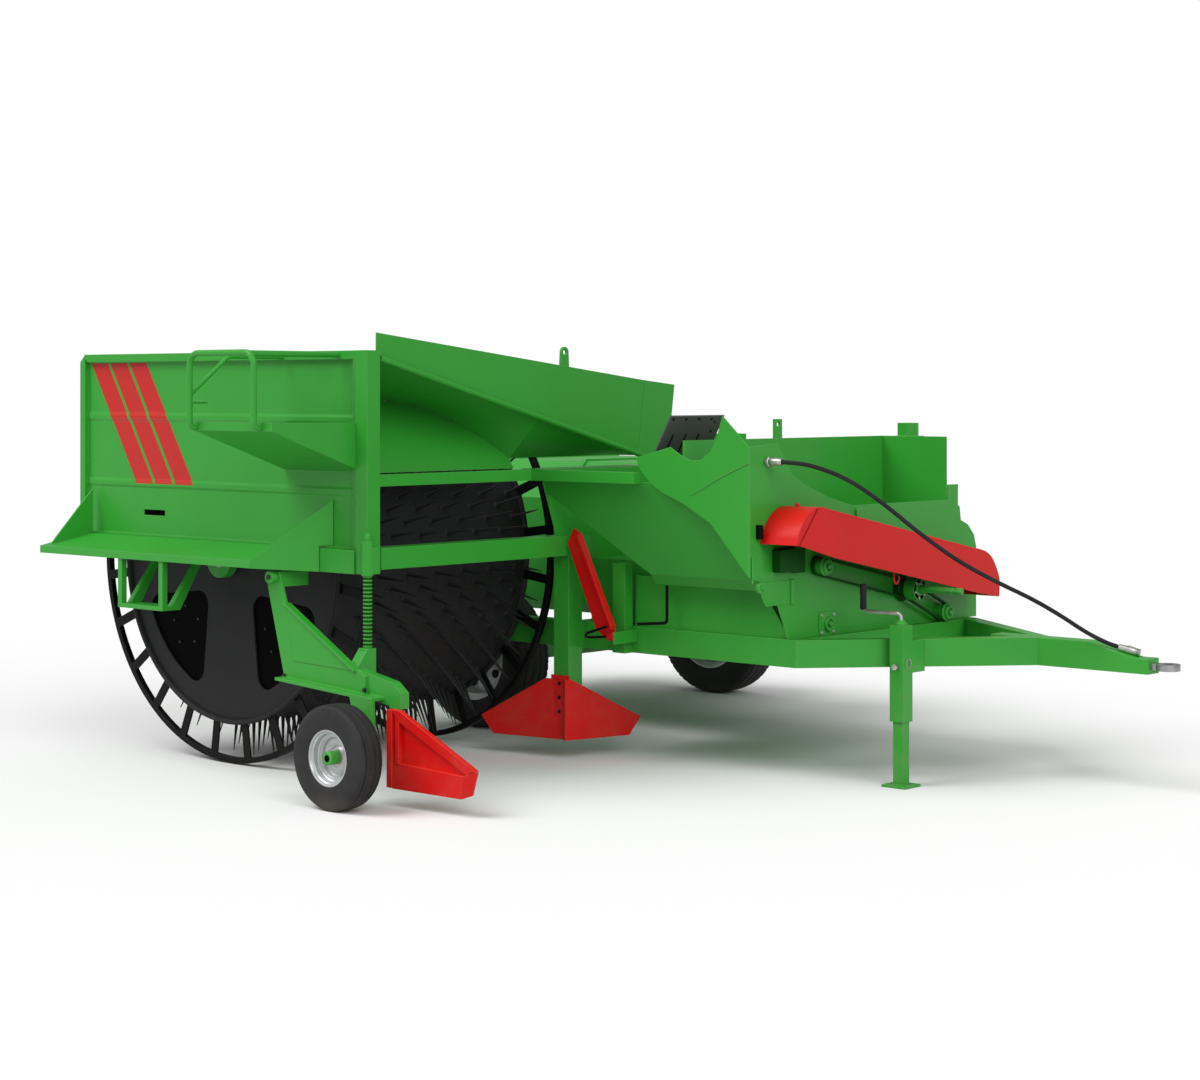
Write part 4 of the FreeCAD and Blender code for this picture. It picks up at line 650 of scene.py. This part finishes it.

# %% [markdown]
# ## The drum
# The drum's ends are pressed discs with four rounded three-cornered windows, each closed by a
# cover set back inside, and the rim of the disc is rolled over. The covers are near-black and
# dull: partly their own black paint, partly painted shade of the recess. The covers are plates
# with the windows' own outline grown a little, and the rolled rim is a small half round carried
# about the axle.

# %% Window covers and rolled rims
drum_low, drum_high = (np.array(c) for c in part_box("drum_end_rings"))
drum_mid = (drum_low + drum_high) / 2
END_PLATE = 0.010
WINDOW_FAR, WINDOW_NEAR, WINDOW_HALF, WINDOW_CORNER = 0.690, 0.230, np.radians(27), 0.095
COVER_LAP, COVER_THICK = 0.022, 0.004


def window_outline(grow):
    """Arc at the far radius, 27 degrees each way, and a tip at the near one; corners rounded."""
    high, low, spread = WINDOW_FAR + grow, WINDOW_NEAR - grow, WINDOW_HALF + grow / WINDOW_FAR
    a = np.linspace(-spread, spread, 14)
    arch = np.stack([high * np.sin(a), -high * np.cos(a)], axis=-1)
    tip = np.array([[0.0, -low]])
    between = tip * 0.5 + arch[:1] * 0.5
    loop = np.vstack([between, arch, tip, between])
    return rounded(np.c_[loop, np.zeros(len(loop))], WINDOW_CORNER + grow)[:-1, :2]


def window_cover(name, side, outward, turn):
    """Cover plate behind one window, turned about the drum's axis by `turn` radians."""
    flat = window_outline(COVER_LAP)
    c, s = np.cos(turn), np.sin(turn)
    x = drum_mid[0] + flat[:, 0] * c - flat[:, 1] * s
    z = drum_mid[2] + flat[:, 0] * s + flat[:, 1] * c
    outline = np.stack([x, np.full_like(x, side), z], axis=-1)
    # The cover's near-black is its own black paint and painted shade of the recess behind the
    # window.
    fit(plate(name, outline, (0, -COVER_THICK * outward, 0), 0.001), "drum", pitch_shade_paint,
        "black_paint")
    middle = circle((drum_mid[0], side, drum_mid[2]), 0.50, 1, turn - np.pi / 2)[0]
    fit(repeated(name + "_bolts", bolt_profile(0.010, 0.006), circle(middle, 0.10, 5, 0.4),
                 (0, outward, 0)), "drum", dark_steel, "bare_steel")


LIP = [(0.0, 0.788), (0.012, 0.790), (0.020, 0.797), (0.022, 0.806), (0.017, 0.814),
       (0.008, 0.818), (0.0, 0.815), (-0.010, 0.806)]
for tag, face, outward in (("outer", drum_low[1], -1), ("inner", drum_high[1], 1)):
    for k in range(4):
        window_cover(f"{tag}_cover_{k}", face - END_PLATE * outward, outward, (k + 0.5) * np.pi / 2)
    fit(turned(f"{tag}_rolled_rim", LIP, (drum_mid[0], face, drum_mid[2]), (0, outward, 0),
               steps=128, smooth=60), "drum", charcoal, "black_paint")
print("drum covers and rims fitted")

# %% [markdown]
# Each spike is pressed into a small round foot that is bolted through the drum's skin. The feet
# are a flat cone each, set in the same staggered rows as the spikes, and their direction is
# straight out from the axle, so one array of angles gives both place and direction.

# %% Spike feet
ROWS, IN_ROW = 80, 6
FIRST_SPIKE, SPIKE_PITCH, FOOT_RADIUS = 0.140, 0.190, 0.7995


def spike_feet():
    """place = axis + radius * (cos a, -sin a), a = row * 4.5 degrees; odd rows half a pitch on."""
    row, index = (v.ravel() for v in np.meshgrid(np.arange(ROWS), np.arange(IN_ROW), indexing="ij"))
    angle = row * 2 * np.pi / ROWS
    along = FIRST_SPIKE + (index + 0.5 * (row % 2)) * SPIKE_PITCH
    out = np.stack([np.cos(angle), 0 * angle, -np.sin(angle)], axis=-1)
    base = np.array([drum_mid[0], drum_low[1] + END_PLATE, drum_mid[2]])
    places = base + FOOT_RADIUS * out + np.stack([0 * along, along, 0 * along], axis=-1)
    return places, out


feet_at, feet_out = spike_feet()
feet = repeated("spike_feet", [(0, 0), (0, 0.019), (0.004, 0.018), (0.007, 0.0135), (0.014, 0.0125),
                               (0.014, 0)], feet_at, feet_out, sides=8)
fit(feet, "drum", charcoal, "black_paint")
print("spike feet:", len(feet_at))

# %% [markdown]
# ## Drive, hose ends and jack
# A power take-off stub is cut with six splines. Its radius is a function of the angle, high on
# the splines and low between them, so the whole shaft is still a turned surface, only not a
# round one. A flange with six bolts closes the hole that the stub comes out of.

# %% Splined stub
def splined_stub():
    """radius(t) = root + (peak - root) * [cos 6t > 0]; a plain neck, and a groove for the pin."""
    low, high = (np.array(c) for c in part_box("pto_shaft"))
    y, z = (low[1] + high[1]) / 2, (low[2] + high[2]) / 2
    tip, shoulder = high[0], high[0] - 0.246
    x = np.array([low[0], low[0], shoulder, shoulder, shoulder + 0.02, shoulder + 0.05,
                  tip - 0.052, tip - 0.048, tip - 0.040, tip - 0.036, tip - 0.004, tip, tip])
    peak = np.array([0, 22, 22, 17.4, 17.4, 17.4, 17.4, 15, 15, 17.4, 17.4, 15.5, 0]) / 1000
    root = np.array([0, 22, 22, 17.4, 17.4, 14.8, 14.8, 14.4, 14.4, 14.8, 14.8, 14.5, 0]) / 1000
    steps = 144
    t = np.linspace(0, 2 * np.pi, steps, endpoint=False)[:, None]
    share = np.clip(np.cos(6 * t) * 5 + 0.5, 0, 1)
    r = root + (peak - root) * share
    grid = np.stack([x + 0 * t, y + r * np.cos(t), z + r * np.sin(t)], axis=-1)
    return make_mesh("pto_splines", grid, quads(steps, len(x), wrap_rows=True).tolist(), 30.0)


fit(splined_stub(), "pto", green_paint, "green_paint", ("pto_shaft",))
case_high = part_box("drive_sprockets")[1]
flange_at = (case_high[0], float(spot(0, 430, 867)[0, 1]), 0.867)
flange = turned("pto_flange", [(-0.014, 0.0225), (-0.014, 0.053), (-0.002, 0.053), (0.0, 0.051),
                               (0.0, 0.034), (0.004, 0.032), (0.004, 0.0225)], flange_at, (1, 0, 0))
fit(flange, "chassis", green_paint, "green_paint")
fit(repeated("pto_flange_bolts", bolt_profile(0.009, 0.006), circle(flange_at, 0.043, 6, 0.3, "X"),
             (1, 0, 0)), "chassis", zinc, "bare_steel")
print("stub and flange made")

# %% [markdown]
# Where a hose leaves its fitting the mechanic crimps a tapered sleeve over it, and a hexagon
# behind it takes the spanner. The coupler at the other end is round. All lie on the hose's own
# line.

# %% Hose fittings
def along_route(first, second):
    """Unit vector from one route point to the next."""
    way = HOSE_ROUTE[second] - HOSE_ROUTE[first]
    return way / np.linalg.norm(way)


start_way, end_way = along_route(0, 1), along_route(-2, -1)
crimp = turned("hose_crimp", [(-0.004, 0.0135), (-0.004, 0.0185), (0.030, 0.0180),
                              (0.050, 0.0140), (0.052, 0.0128)], HOSE_ROUTE[0], start_way, steps=28)
fit(crimp, "chassis", zinc, "bare_steel")
collar = repeated("hose_hexagon", [(0, 0), (0, 0.025), (0.016, 0.025), (0.018, 0.022), (0.018, 0)],
                  HOSE_ROUTE[:1] - start_way * 0.036, start_way)
fit(collar, "chassis", zinc, "bare_steel")
coupler = turned("hose_coupler", [(-0.040, 0.0128), (-0.038, 0.0150), (-0.002, 0.0172),
                                  (0.0, 0.0195), (0.030, 0.0195), (0.032, 0.0182), (0.046, 0.0182),
                                  (0.048, 0.0160), (0.061, 0.0155), (0.061, 0.0)],
                 HOSE_ROUTE[-1], end_way, steps=36)
fit(coupler, "chassis", zinc, "bare_steel")
print("hose fittings made")

# %% [markdown]
# The jack's crank ends in a black grip that turns in the hand. A pin in the sleeve and a pull
# ring beside it lock the leg, and the crank's boss is a small cap on the tube.

# %% Jack grip, pin and ring
crank_low, crank_high = (np.array(c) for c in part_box("jack_crank"))
grip_x, grip_y = crank_low[0] + 0.009, (crank_low[1] + crank_high[1]) / 2
grip = turned("jack_grip", [(-0.118, 0.0095), (-0.118, 0.014), (-0.110, 0.0160), (-0.06, 0.0150),
                            (-0.012, 0.0168), (0.0, 0.0150), (0.004, 0.009), (0.004, 0)],
              (grip_x, grip_y, crank_high[2] - 0.003), (0, 0, 1), steps=28)
fit(grip, "chassis", grip_rubber, "black_paint")
cap = turned("jack_cap", [(0, 0.0), (0, 0.030), (0.010, 0.028), (0.016, 0.020), (0.022, 0.018),
                          (0.022, 0.0)], spot(2800, -160, 753), (0, 0, 1))
fit(cap, "chassis", green_paint, "green_paint")
pin = turned("jack_pin", [(-0.009, 0), (-0.009, 0.008), (0.0, 0.008), (0.004, 0.0145),
                          (0.014, 0.0165), (0.022, 0.0135), (0.026, 0.0)],
             spot(2800, -198, 560), (0, -1, 0), steps=24)
fit(pin, "chassis", zinc, "bare_steel")
t = np.linspace(0, 2 * np.pi, 49)[:, None]
ring_path = spot(2842, -160, 575) + 0.020 * np.hstack([0 * t, np.cos(t), np.sin(t)])
pull = tube("jack_ring", ring_path, 0.0022, (1, 0, 0.001), steps=8)
fit(pull, "chassis", zinc, "bare_steel")
print("jack dressed")

# %% [markdown]
# ## Small steel parts
# Flat work is drawn as an outline in the drawing's millimetres and pulled along X, Y or Z. Other
# short helpers bend a round bar through drawing places, set a turned part or a scatter of small
# ones there, and pull a flat outline that stands square to no axis.

# %% Helpers in drawing millimetres
PAINTS = {"green": (green_paint, "green_paint"), "red": (red_paint, "red_paint"),
          "black": (black_paint, "black_paint"), "deep": (deep_green, "green_paint"),
          "crease": (seam_shade_red, "red_paint"), "zinc": (zinc, "bare_steel"),
          "dark": (dark_steel, "bare_steel")}
ACROSS = {"X": (0, 1, 2), "Y": (1, 0, 2), "Z": (2, 0, 1)}


def sheet(name, axis, start, thick, outline, finish="green", bevel=0.0015):
    """Outline in the two other axes at `start` along `axis`, pulled by `thick`; all millimetres."""
    flat = np.array(outline, float)
    across, first, second = ACROSS[axis]
    place = np.zeros((len(flat), 3))
    place[:, across], place[:, first], place[:, second] = start, flat[:, 0], flat[:, 1]
    pull = np.zeros(3)
    pull[across] = thick / 1000.0
    fit(plate(name, spot(*place), pull, bevel), "chassis", *PAINTS[finish])


def facet(name, corners, thick, finish, replaces=()):
    """A flat plate through corners that need not lie square to an axis, pulled by a vector (mm)."""
    piece = plate(name, spot(*corners), np.array(thick, float) / 1000.0)
    fit(piece, "chassis", *PAINTS[finish], replaces)


def bar(name, places, radius, finish, side, bend=0.0, body="chassis", steps=12):
    """Round bar through drawing places, its corners rounded by `bend` metres."""
    path = spot(*places)
    if bend:
        path = rounded(path, bend)
    fit(tube(name, path, radius, side, steps), body, *PAINTS[finish])


def round_part(name, profile, place, axis, finish, steps=32):
    """A turned part at a drawing place; its profile is in metres."""
    fit(turned(name, profile, spot(*place), axis, steps), "chassis", *PAINTS[finish])


def scatter(name, profile, places, direction, finish, sides=6):
    """One small turned profile at many drawing places; its profile is in metres."""
    fit(repeated(name, profile, spot(*places), direction, sides), "chassis", *PAINTS[finish])


def rectangle(low, high, corner):
    """Corners of a rectangle, each corner cut by five points of a quarter circle."""
    (a, b), (c, d) = low, high
    turn = np.linspace(0, np.pi / 2, 5)
    centres = [(a + corner, b + corner, np.pi), (c - corner, b + corner, 1.5 * np.pi),
               (c - corner, d - corner, 0.0), (a + corner, d - corner, 0.5 * np.pi)]
    return [(x + corner * np.cos(start + t), y + corner * np.sin(start + t))
            for x, y, start in centres for t in turn]


print("drawing helpers ready")

# %% [markdown]
# The gauge wheel's arm is a pressed box: a raised sheet stiffens its side, a boss with a pin
# goes through its two ears, and a height screw shows its coarse thread between the sleeve and
# the nut.

# %% Gauge arm and screw
sheet("arm_panel", "Y", -2100, -3, [(716, 836), (757, 594), (1186, 579), (1150, 592), (724, 838)],
      bevel=0.001)
round_part("arm_boss", [(-0.040, 0), (-0.040, 0.030), (0.028, 0.030), (0.031, 0.028), (0.031, 0.0)],
           (612, -2100, 975), (0, -1, 0), "green")
round_part("arm_pin", [(0.030, 0), (0.030, 0.010), (0.037, 0.010), (0.039, 0.008), (0.039, 0)],
           (612, -2100, 975), (0, -1, 0), "dark", steps=12)
SCREW_LOW, SCREW_HIGH, THREAD_PITCH = 672, 998, 17.7
foot, head = SCREW_LOW / 1000.0, SCREW_HIGH / 1000.0
turns = np.arange(SCREW_LOW, SCREW_HIGH - 2, THREAD_PITCH)
ridge = np.stack([turns, turns + 2, turns + 8, turns + 10], axis=1).ravel() / 1000.0
reach = np.tile([0.0172, 0.0216, 0.0216, 0.0172], len(turns))
# The core's darker green is painted shade in the grooves between the thread's ridges.
round_part("screw_root_shade", [(foot, 0.0), (foot, 0.0184), (head, 0.0184), (head, 0.0)],
           (1120, -1975, 0), (0, 0, 1), "deep")
round_part("screw_ridges", [(foot, 0.0), *zip(ridge, reach), (head, 0.0176), (head, 0.0)],
           (1120, -1975, 0), (0, 0, 1), "green")
round_part("screw_dome", [(0.0, 0.0195), (0.022, 0.0190), (0.034, 0.0150), (0.040, 0.008),
                          (0.042, 0.0)], (1120, -1975, 1158), (0, 0, 1), "green")
sheet("nut_cheek", "Y", -2004, -4, rectangle((1096, 545), (1146, 668), 8))
for k, (x, z) in enumerate(((1240, 500), (690, 520))):
    round_part(f"arm_bolt_{k}", bolt_profile(0.016, 0.010), (x, -2102, z), (0, -1, 0), "dark",
               steps=6)
print("gauge arm dressed")

# %% [markdown]
# The outboard plough is a shallow box: a recessed sheet inside a raised channel, a sloping rim
# and a wedge along its foot whose nose turns inwards. Each is one facet, a flat outline given a
# thickness.

# %% Outboard plough
facet("plough_sheet", [(1402, -2092, 90), (1878, -2092, 90), (1925, -2092, 190), (1870, -2092, 218),
                       (1430, -2092, 426), (1402, -2092, 426)], (0, 8, 0), "red", ("outer_plough",))
sheet("plough_channel", "Y", -2122, 52, rectangle((1402, 84), (1436, 430), 3), "red")
sheet("plough_upright", "Y", -2116, 30, rectangle((1450, 190), (1474, 424), 3), "red")
facet("plough_rim", [(1430, -2122, 431), (1480, -2122, 431), (1935, -2100, 206), (1884, -2106, 186),
                     (1474, -2116, 380)], (0, 26, 0), "red")
facet("plough_wedge", [(1436, -2122, 82), (1870, -2122, 82), (1884, -2122, 182),
                       (1436, -2110, 196)], (0, 30, 0), "red")
facet("plough_nose", [(1870, -2121, 82), (1905, -2086, 96), (1938, -2086, 204), (1884, -2121, 184)],
      (-6, 14, 0), "red")
print("outboard plough dressed")

# %% [markdown]
# The front wall carries the small steel that makes a drive look alive: flanged bearings at the
# chain wheels, an access plate with a grip, a gearbox, a rubber pad, a latch rod along the
# wall's edge, and a red hook that holds the driveline while the machine is parked. The belt
# guard is a folded sheet; its rolled ends get a smooth skin, a spline through the corners of the
# folds.

# %% Front wall details
WALL = 2386
BEARING = [(0.0, 0.0), (0.0, 0.044), (0.008, 0.044), (0.010, 0.036), (0.024, 0.034), (0.026, 0.031),
           (0.026, 0.024), (0.016, 0.022), (0.016, 0.012), (0.032, 0.011), (0.034, 0.009),
           (0.034, 0.0)]
for tag, place in (("upper", (2441, -270, 1015)), ("lower", (2441, 750, 730)),
                   ("wall", (WALL, -185, 735))):
    round_part(f"{tag}_bearing", BEARING, place, (1, 0, 0), "green")
sheet("access_plate", "X", WALL, 4, [(-655, 846), (-455, 846), (-455, 958), (-690, 958),
                                     (-690, 900)])
sheet("access_grip", "X", WALL, 14, rectangle((-470, 846), (-448, 962), 6), bevel=0.004)
sheet("bearing_plate", "X", WALL, 8, rectangle((-245, 680), (-125, 790), 8))
wall_bolts = [(2394, y, z) for y in (-232, -138) for z in (694, 776)]
scatter("wall_bolts", bolt_profile(0.011, 0.007), wall_bolts, (1, 0, 0), "zinc")
sheet("guard_pad", "X", WALL, 26, rectangle((-726, 1160), (-702, 1226), 3), "black")
sheet("guard_lug", "X", WALL, 14, rectangle((50, 1225), (100, 1272), 8))
round_part("guard_knob", [(0, 0), (0, 0.011), (0.012, 0.011), (0.016, 0.006), (0.016, 0)],
           (2450, -495, 1305), (0, 0, 1), "red", steps=16)
bar("driveline_hook", [(2550, 138, 985), (2550, 138, 930), (2550, 159, 908), (2550, 181, 930),
                       (2550, 181, 950)], 0.0052, "red", (1, 0, 0), bend=0.018)
bar("latch_rod", [(2391, -756, 1080), (2391, -756, 957)], 0.0045, "green", (1, 0, 0))
round_part("latch_boss", [(0, 0), (0, 0.028), (0.014, 0.028), (0.018, 0.024), (0.018, 0.010),
                          (0.026, 0.009), (0.026, 0)], (WALL, -700, 936), (1, 0, 0), "green")


GUARD_MIDDLE, GUARD_DEEP = np.array([160.0, 900.0]), 209.5


def crown(tag, corners, start):
    """Catmull-Rom spline through the folds' corners, thickened 1.6 mm out and 1.5 mm in."""
    ends = [2 * np.array(corners[0]) - corners[1], *map(np.array, corners),
            2 * np.array(corners[-1]) - corners[-2]]
    t = np.linspace(0, 1, 7)[:-1, None]
    outer = []
    for a, b, c, d in zip(ends, ends[1:], ends[2:], ends[3:]):
        outer.append(0.5 * (2 * b + (c - a) * t + (2 * a - 5 * b + 4 * c - d) * t ** 2
                            + (3 * b - 3 * c + d - a) * t ** 3))
    outer = np.vstack(outer + [ends[-2][None, :]])
    run = np.gradient(outer, axis=0)
    out = np.stack([run[:, 1], -run[:, 0]], axis=1) / np.linalg.norm(run, axis=1)[:, None]
    out *= np.sign(np.sum(out * (outer - GUARD_MIDDLE), axis=1))[:, None]
    rim = np.vstack([outer + 1.6 * out, (outer - 1.5 * out)[::-1]])
    sheet(f"guard_crown_{tag}", "X", start, GUARD_DEEP, rim, "red", bevel=0.0)


crown("right", [(-695, 1138), (-678, 1186), (-650, 1232), (-610, 1272), (-560, 1299), (-505, 1306),
                (-450, 1297)], 2387)
crown("left", [(795, 1053), (874, 1034), (929, 1002), (969, 952), (997, 898), (1004, 861)], 2387)
# The seam bar's darker red is painted shade along the guard's fold.
bar("guard_seam", [(2596, -533, 1300), (2596, -668, 1140)], 0.0036, "crease", (1, 0, 0), steps=8)
facet("apron_lip", [(1640, -600, 956), (2376, -600, 956), (2376, -562, 905), (1640, -562, 905)],
      (0, 3, 2), "green")
bar("fin_crease", [(2040, -771, 1358), (2240, -771, 1455), (2378, -771, 1511)], 0.0028, "green",
    (0, 1, 0), bend=0.05, steps=8)
bar("hood_seam", [(1067, 22, 1880), (1067, -28, 1524)], 0.0022, "green", (1, 0, 0), steps=8)
sheet("gearbox_block", "X", WALL, 52, rectangle((-604, 1000), (-470, 1108), 12), "deep",
      bevel=0.004)
sheet("gearbox_side", "X", WALL, 34, rectangle((-474, 992), (-392, 1118), 8), "deep", bevel=0.003)
round_part("pto_sprocket", disc(0.066, 0.008), (2390, 430, 867), (1, 0, 0), "deep", steps=40)
print("front wall dressed")

# %% [markdown]
# Two black rods hang from the frame: one under the apron, bent like an L, and the loop that
# pulls the spare deflector's pin. The slotted plate over the hopper has small holes near its
# edges and long slots in its middle, all drawn on the plate's own slope as thin black discs and
# facets of painted shade, and little nuts show along the comb guide's upper edge. The centre
# plough is bolted through a rounded plate, its bolt holes drawn the same way, and each wing has
# a band at its foot.

# %% Rods, holes, nuts and creases
bar("apron_rod", [(1686, -532, 900), (1686, -532, 716), (1500, -532, 700)], 0.0075, "black",
    (0, 1, 0), bend=0.022)
bar("deflector_loop", [(1408, -662, 690), (1280, -662, 650), (1268, -662, 636), (1290, -662, 630),
                       (1404, -662, 640)], 0.0065, "black", (0, 1, 0), bend=0.012,
    body="stowed_plough")


def on_slope(y, share):
    """The slotted plate's face at a share of its height: (1785 + 125 s, y, 1506 + 217 s)."""
    return (1785 + 125 * share, y, 1506 + 217 * share)


# Holes and slots are thin black discs and facets: painted shade where the plate is cut through.
holes = [on_slope(y, 0.93) for y in (-738, -643, -548, -453)]
holes += [on_slope(-420, share) for share in (0.86, 0.66)]
scatter("plate_hole_shade", disc(0.0075, 0.001), holes, (0.866, 0, -0.5), "black", sides=16)
for k, y in enumerate((-690, -595, -500)):
    slot = [on_slope(y + side, share)
            for side, share in ((-6, 0.60), (6, 0.60), (6, 0.12), (-6, 0.12))]
    facet(f"plate_slot_shade_{k}", slot, (1.0, 0, -0.6), "black")
nuts = [(622, y, 1796) for y in np.arange(-1840, -1280, 62.0)]
scatter("guide_nuts", bolt_profile(0.010, 0.008), nuts, (0.65, 0, 0.76), "zinc")


def swept(turn_degrees, root, outline):
    """Wing-plane millimetres (along, up) turned about Z: root + along * (cos t, sin t)."""
    t = np.radians(turn_degrees)
    return [(root[0] + a * np.cos(t), root[1] + a * np.sin(t), z) for a, z in outline]


rear_band = swept(9.5, (1050, -611), [(-2, 100), (-400, 100), (-478, 189), (-2, 212)])
front_band = swept(74, (1103, -612), [(-12, 100), (360, 100), (429, 189), (260, 203), (-12, 214)])
facet("rear_wing_band", rear_band, (0, -4, 0), "red")
facet("front_wing_band", front_band, (4, -1, 0), "red")
sheet("plough_washer", "Y", -611, -5, rectangle((1002, 104), (1100, 412), 20), "red")
# The plough's bolt holes are thin black discs of painted shade.
scatter("plough_hole_shade", disc(0.010, 0.0012), [(1052, -616, z) for z in (380, 310, 240)],
        (0, -1, 0), "black", sides=18)
print("rods, holes, nuts and creases added")

# %% [markdown]
# ## Light and floor
# A white studio: light comes from everywhere, one broad sun high on the camera's left gives form
# and a soft shadow, and a second one, from behind the camera's right shoulder, opens the shade.
# The floor looks white to the camera and to reflections, but throws less light back at the
# machine's belly.

# %% Floor, world and lamps
def white_floor():
    data = bpy.data.meshes.new("floor")
    data.from_pydata([(-60, -60, 0), (60, -60, 0), (60, 60, 0), (-60, 60, 0)], [], [(0, 1, 2, 3)])
    ground = bpy.data.objects.new("floor", data)
    scene.collection.objects.link(ground)
    look = Finish("studio_floor")
    seen = look.add("ShaderNodeLightPath", {}, {}, out="Is Camera Ray")
    gloss = look.add("ShaderNodeLightPath", {}, {}, out="Is Glossy Ray")
    clear = look.add("ShaderNodeLightPath", {}, {}, out="Is Transmission Ray")
    white = look.blend(seen + gloss + clear, (0.55, 0.55, 0.55, 1), (0.93, 0.93, 0.93, 1))
    look.set(Base_Color=white, Roughness=0.9, Specular_IOR_Level=0.0)
    data.materials.append(look.material)


def lamp(name, power, wide, toward):
    """A sun whose light travels along `toward`; `wide` degrees across for a soft shadow."""
    light = bpy.data.lights.new(name, "SUN")
    light.energy = power
    light.angle = np.radians(wide)
    item = bpy.data.objects.new(name, light)
    item.rotation_mode = "QUATERNION"
    item.rotation_quaternion = Vector(toward).to_track_quat("-Z", "Y")
    scene.collection.objects.link(item)


SKY_LIGHT = 0.40
white_floor()
lamp("key_sun", 1.9, 40, (0.62, 0.92, -1.35))
lamp("fill_sun", 1.25, 40, (-1.0, 0.45, -0.7))
world = bpy.data.worlds.new("studio")
world.use_nodes = True
scene.world = world
sky = world.node_tree.nodes["Background"]
sky.inputs["Color"].default_value = (1.0, 1.0, 1.0, 1.0)
path = world.node_tree.nodes.new("ShaderNodeLightPath")
level = world.node_tree.nodes.new("ShaderNodeMath")
level.operation = "MULTIPLY_ADD"
level.inputs[1].default_value = 1.0 - SKY_LIGHT
level.inputs[2].default_value = SKY_LIGHT
world.node_tree.links.new(path.outputs["Is Camera Ray"], level.inputs[0])
world.node_tree.links.new(level.outputs[0], sky.inputs["Strength"])
scene.view_settings.view_transform = "Standard"
print("studio lit")
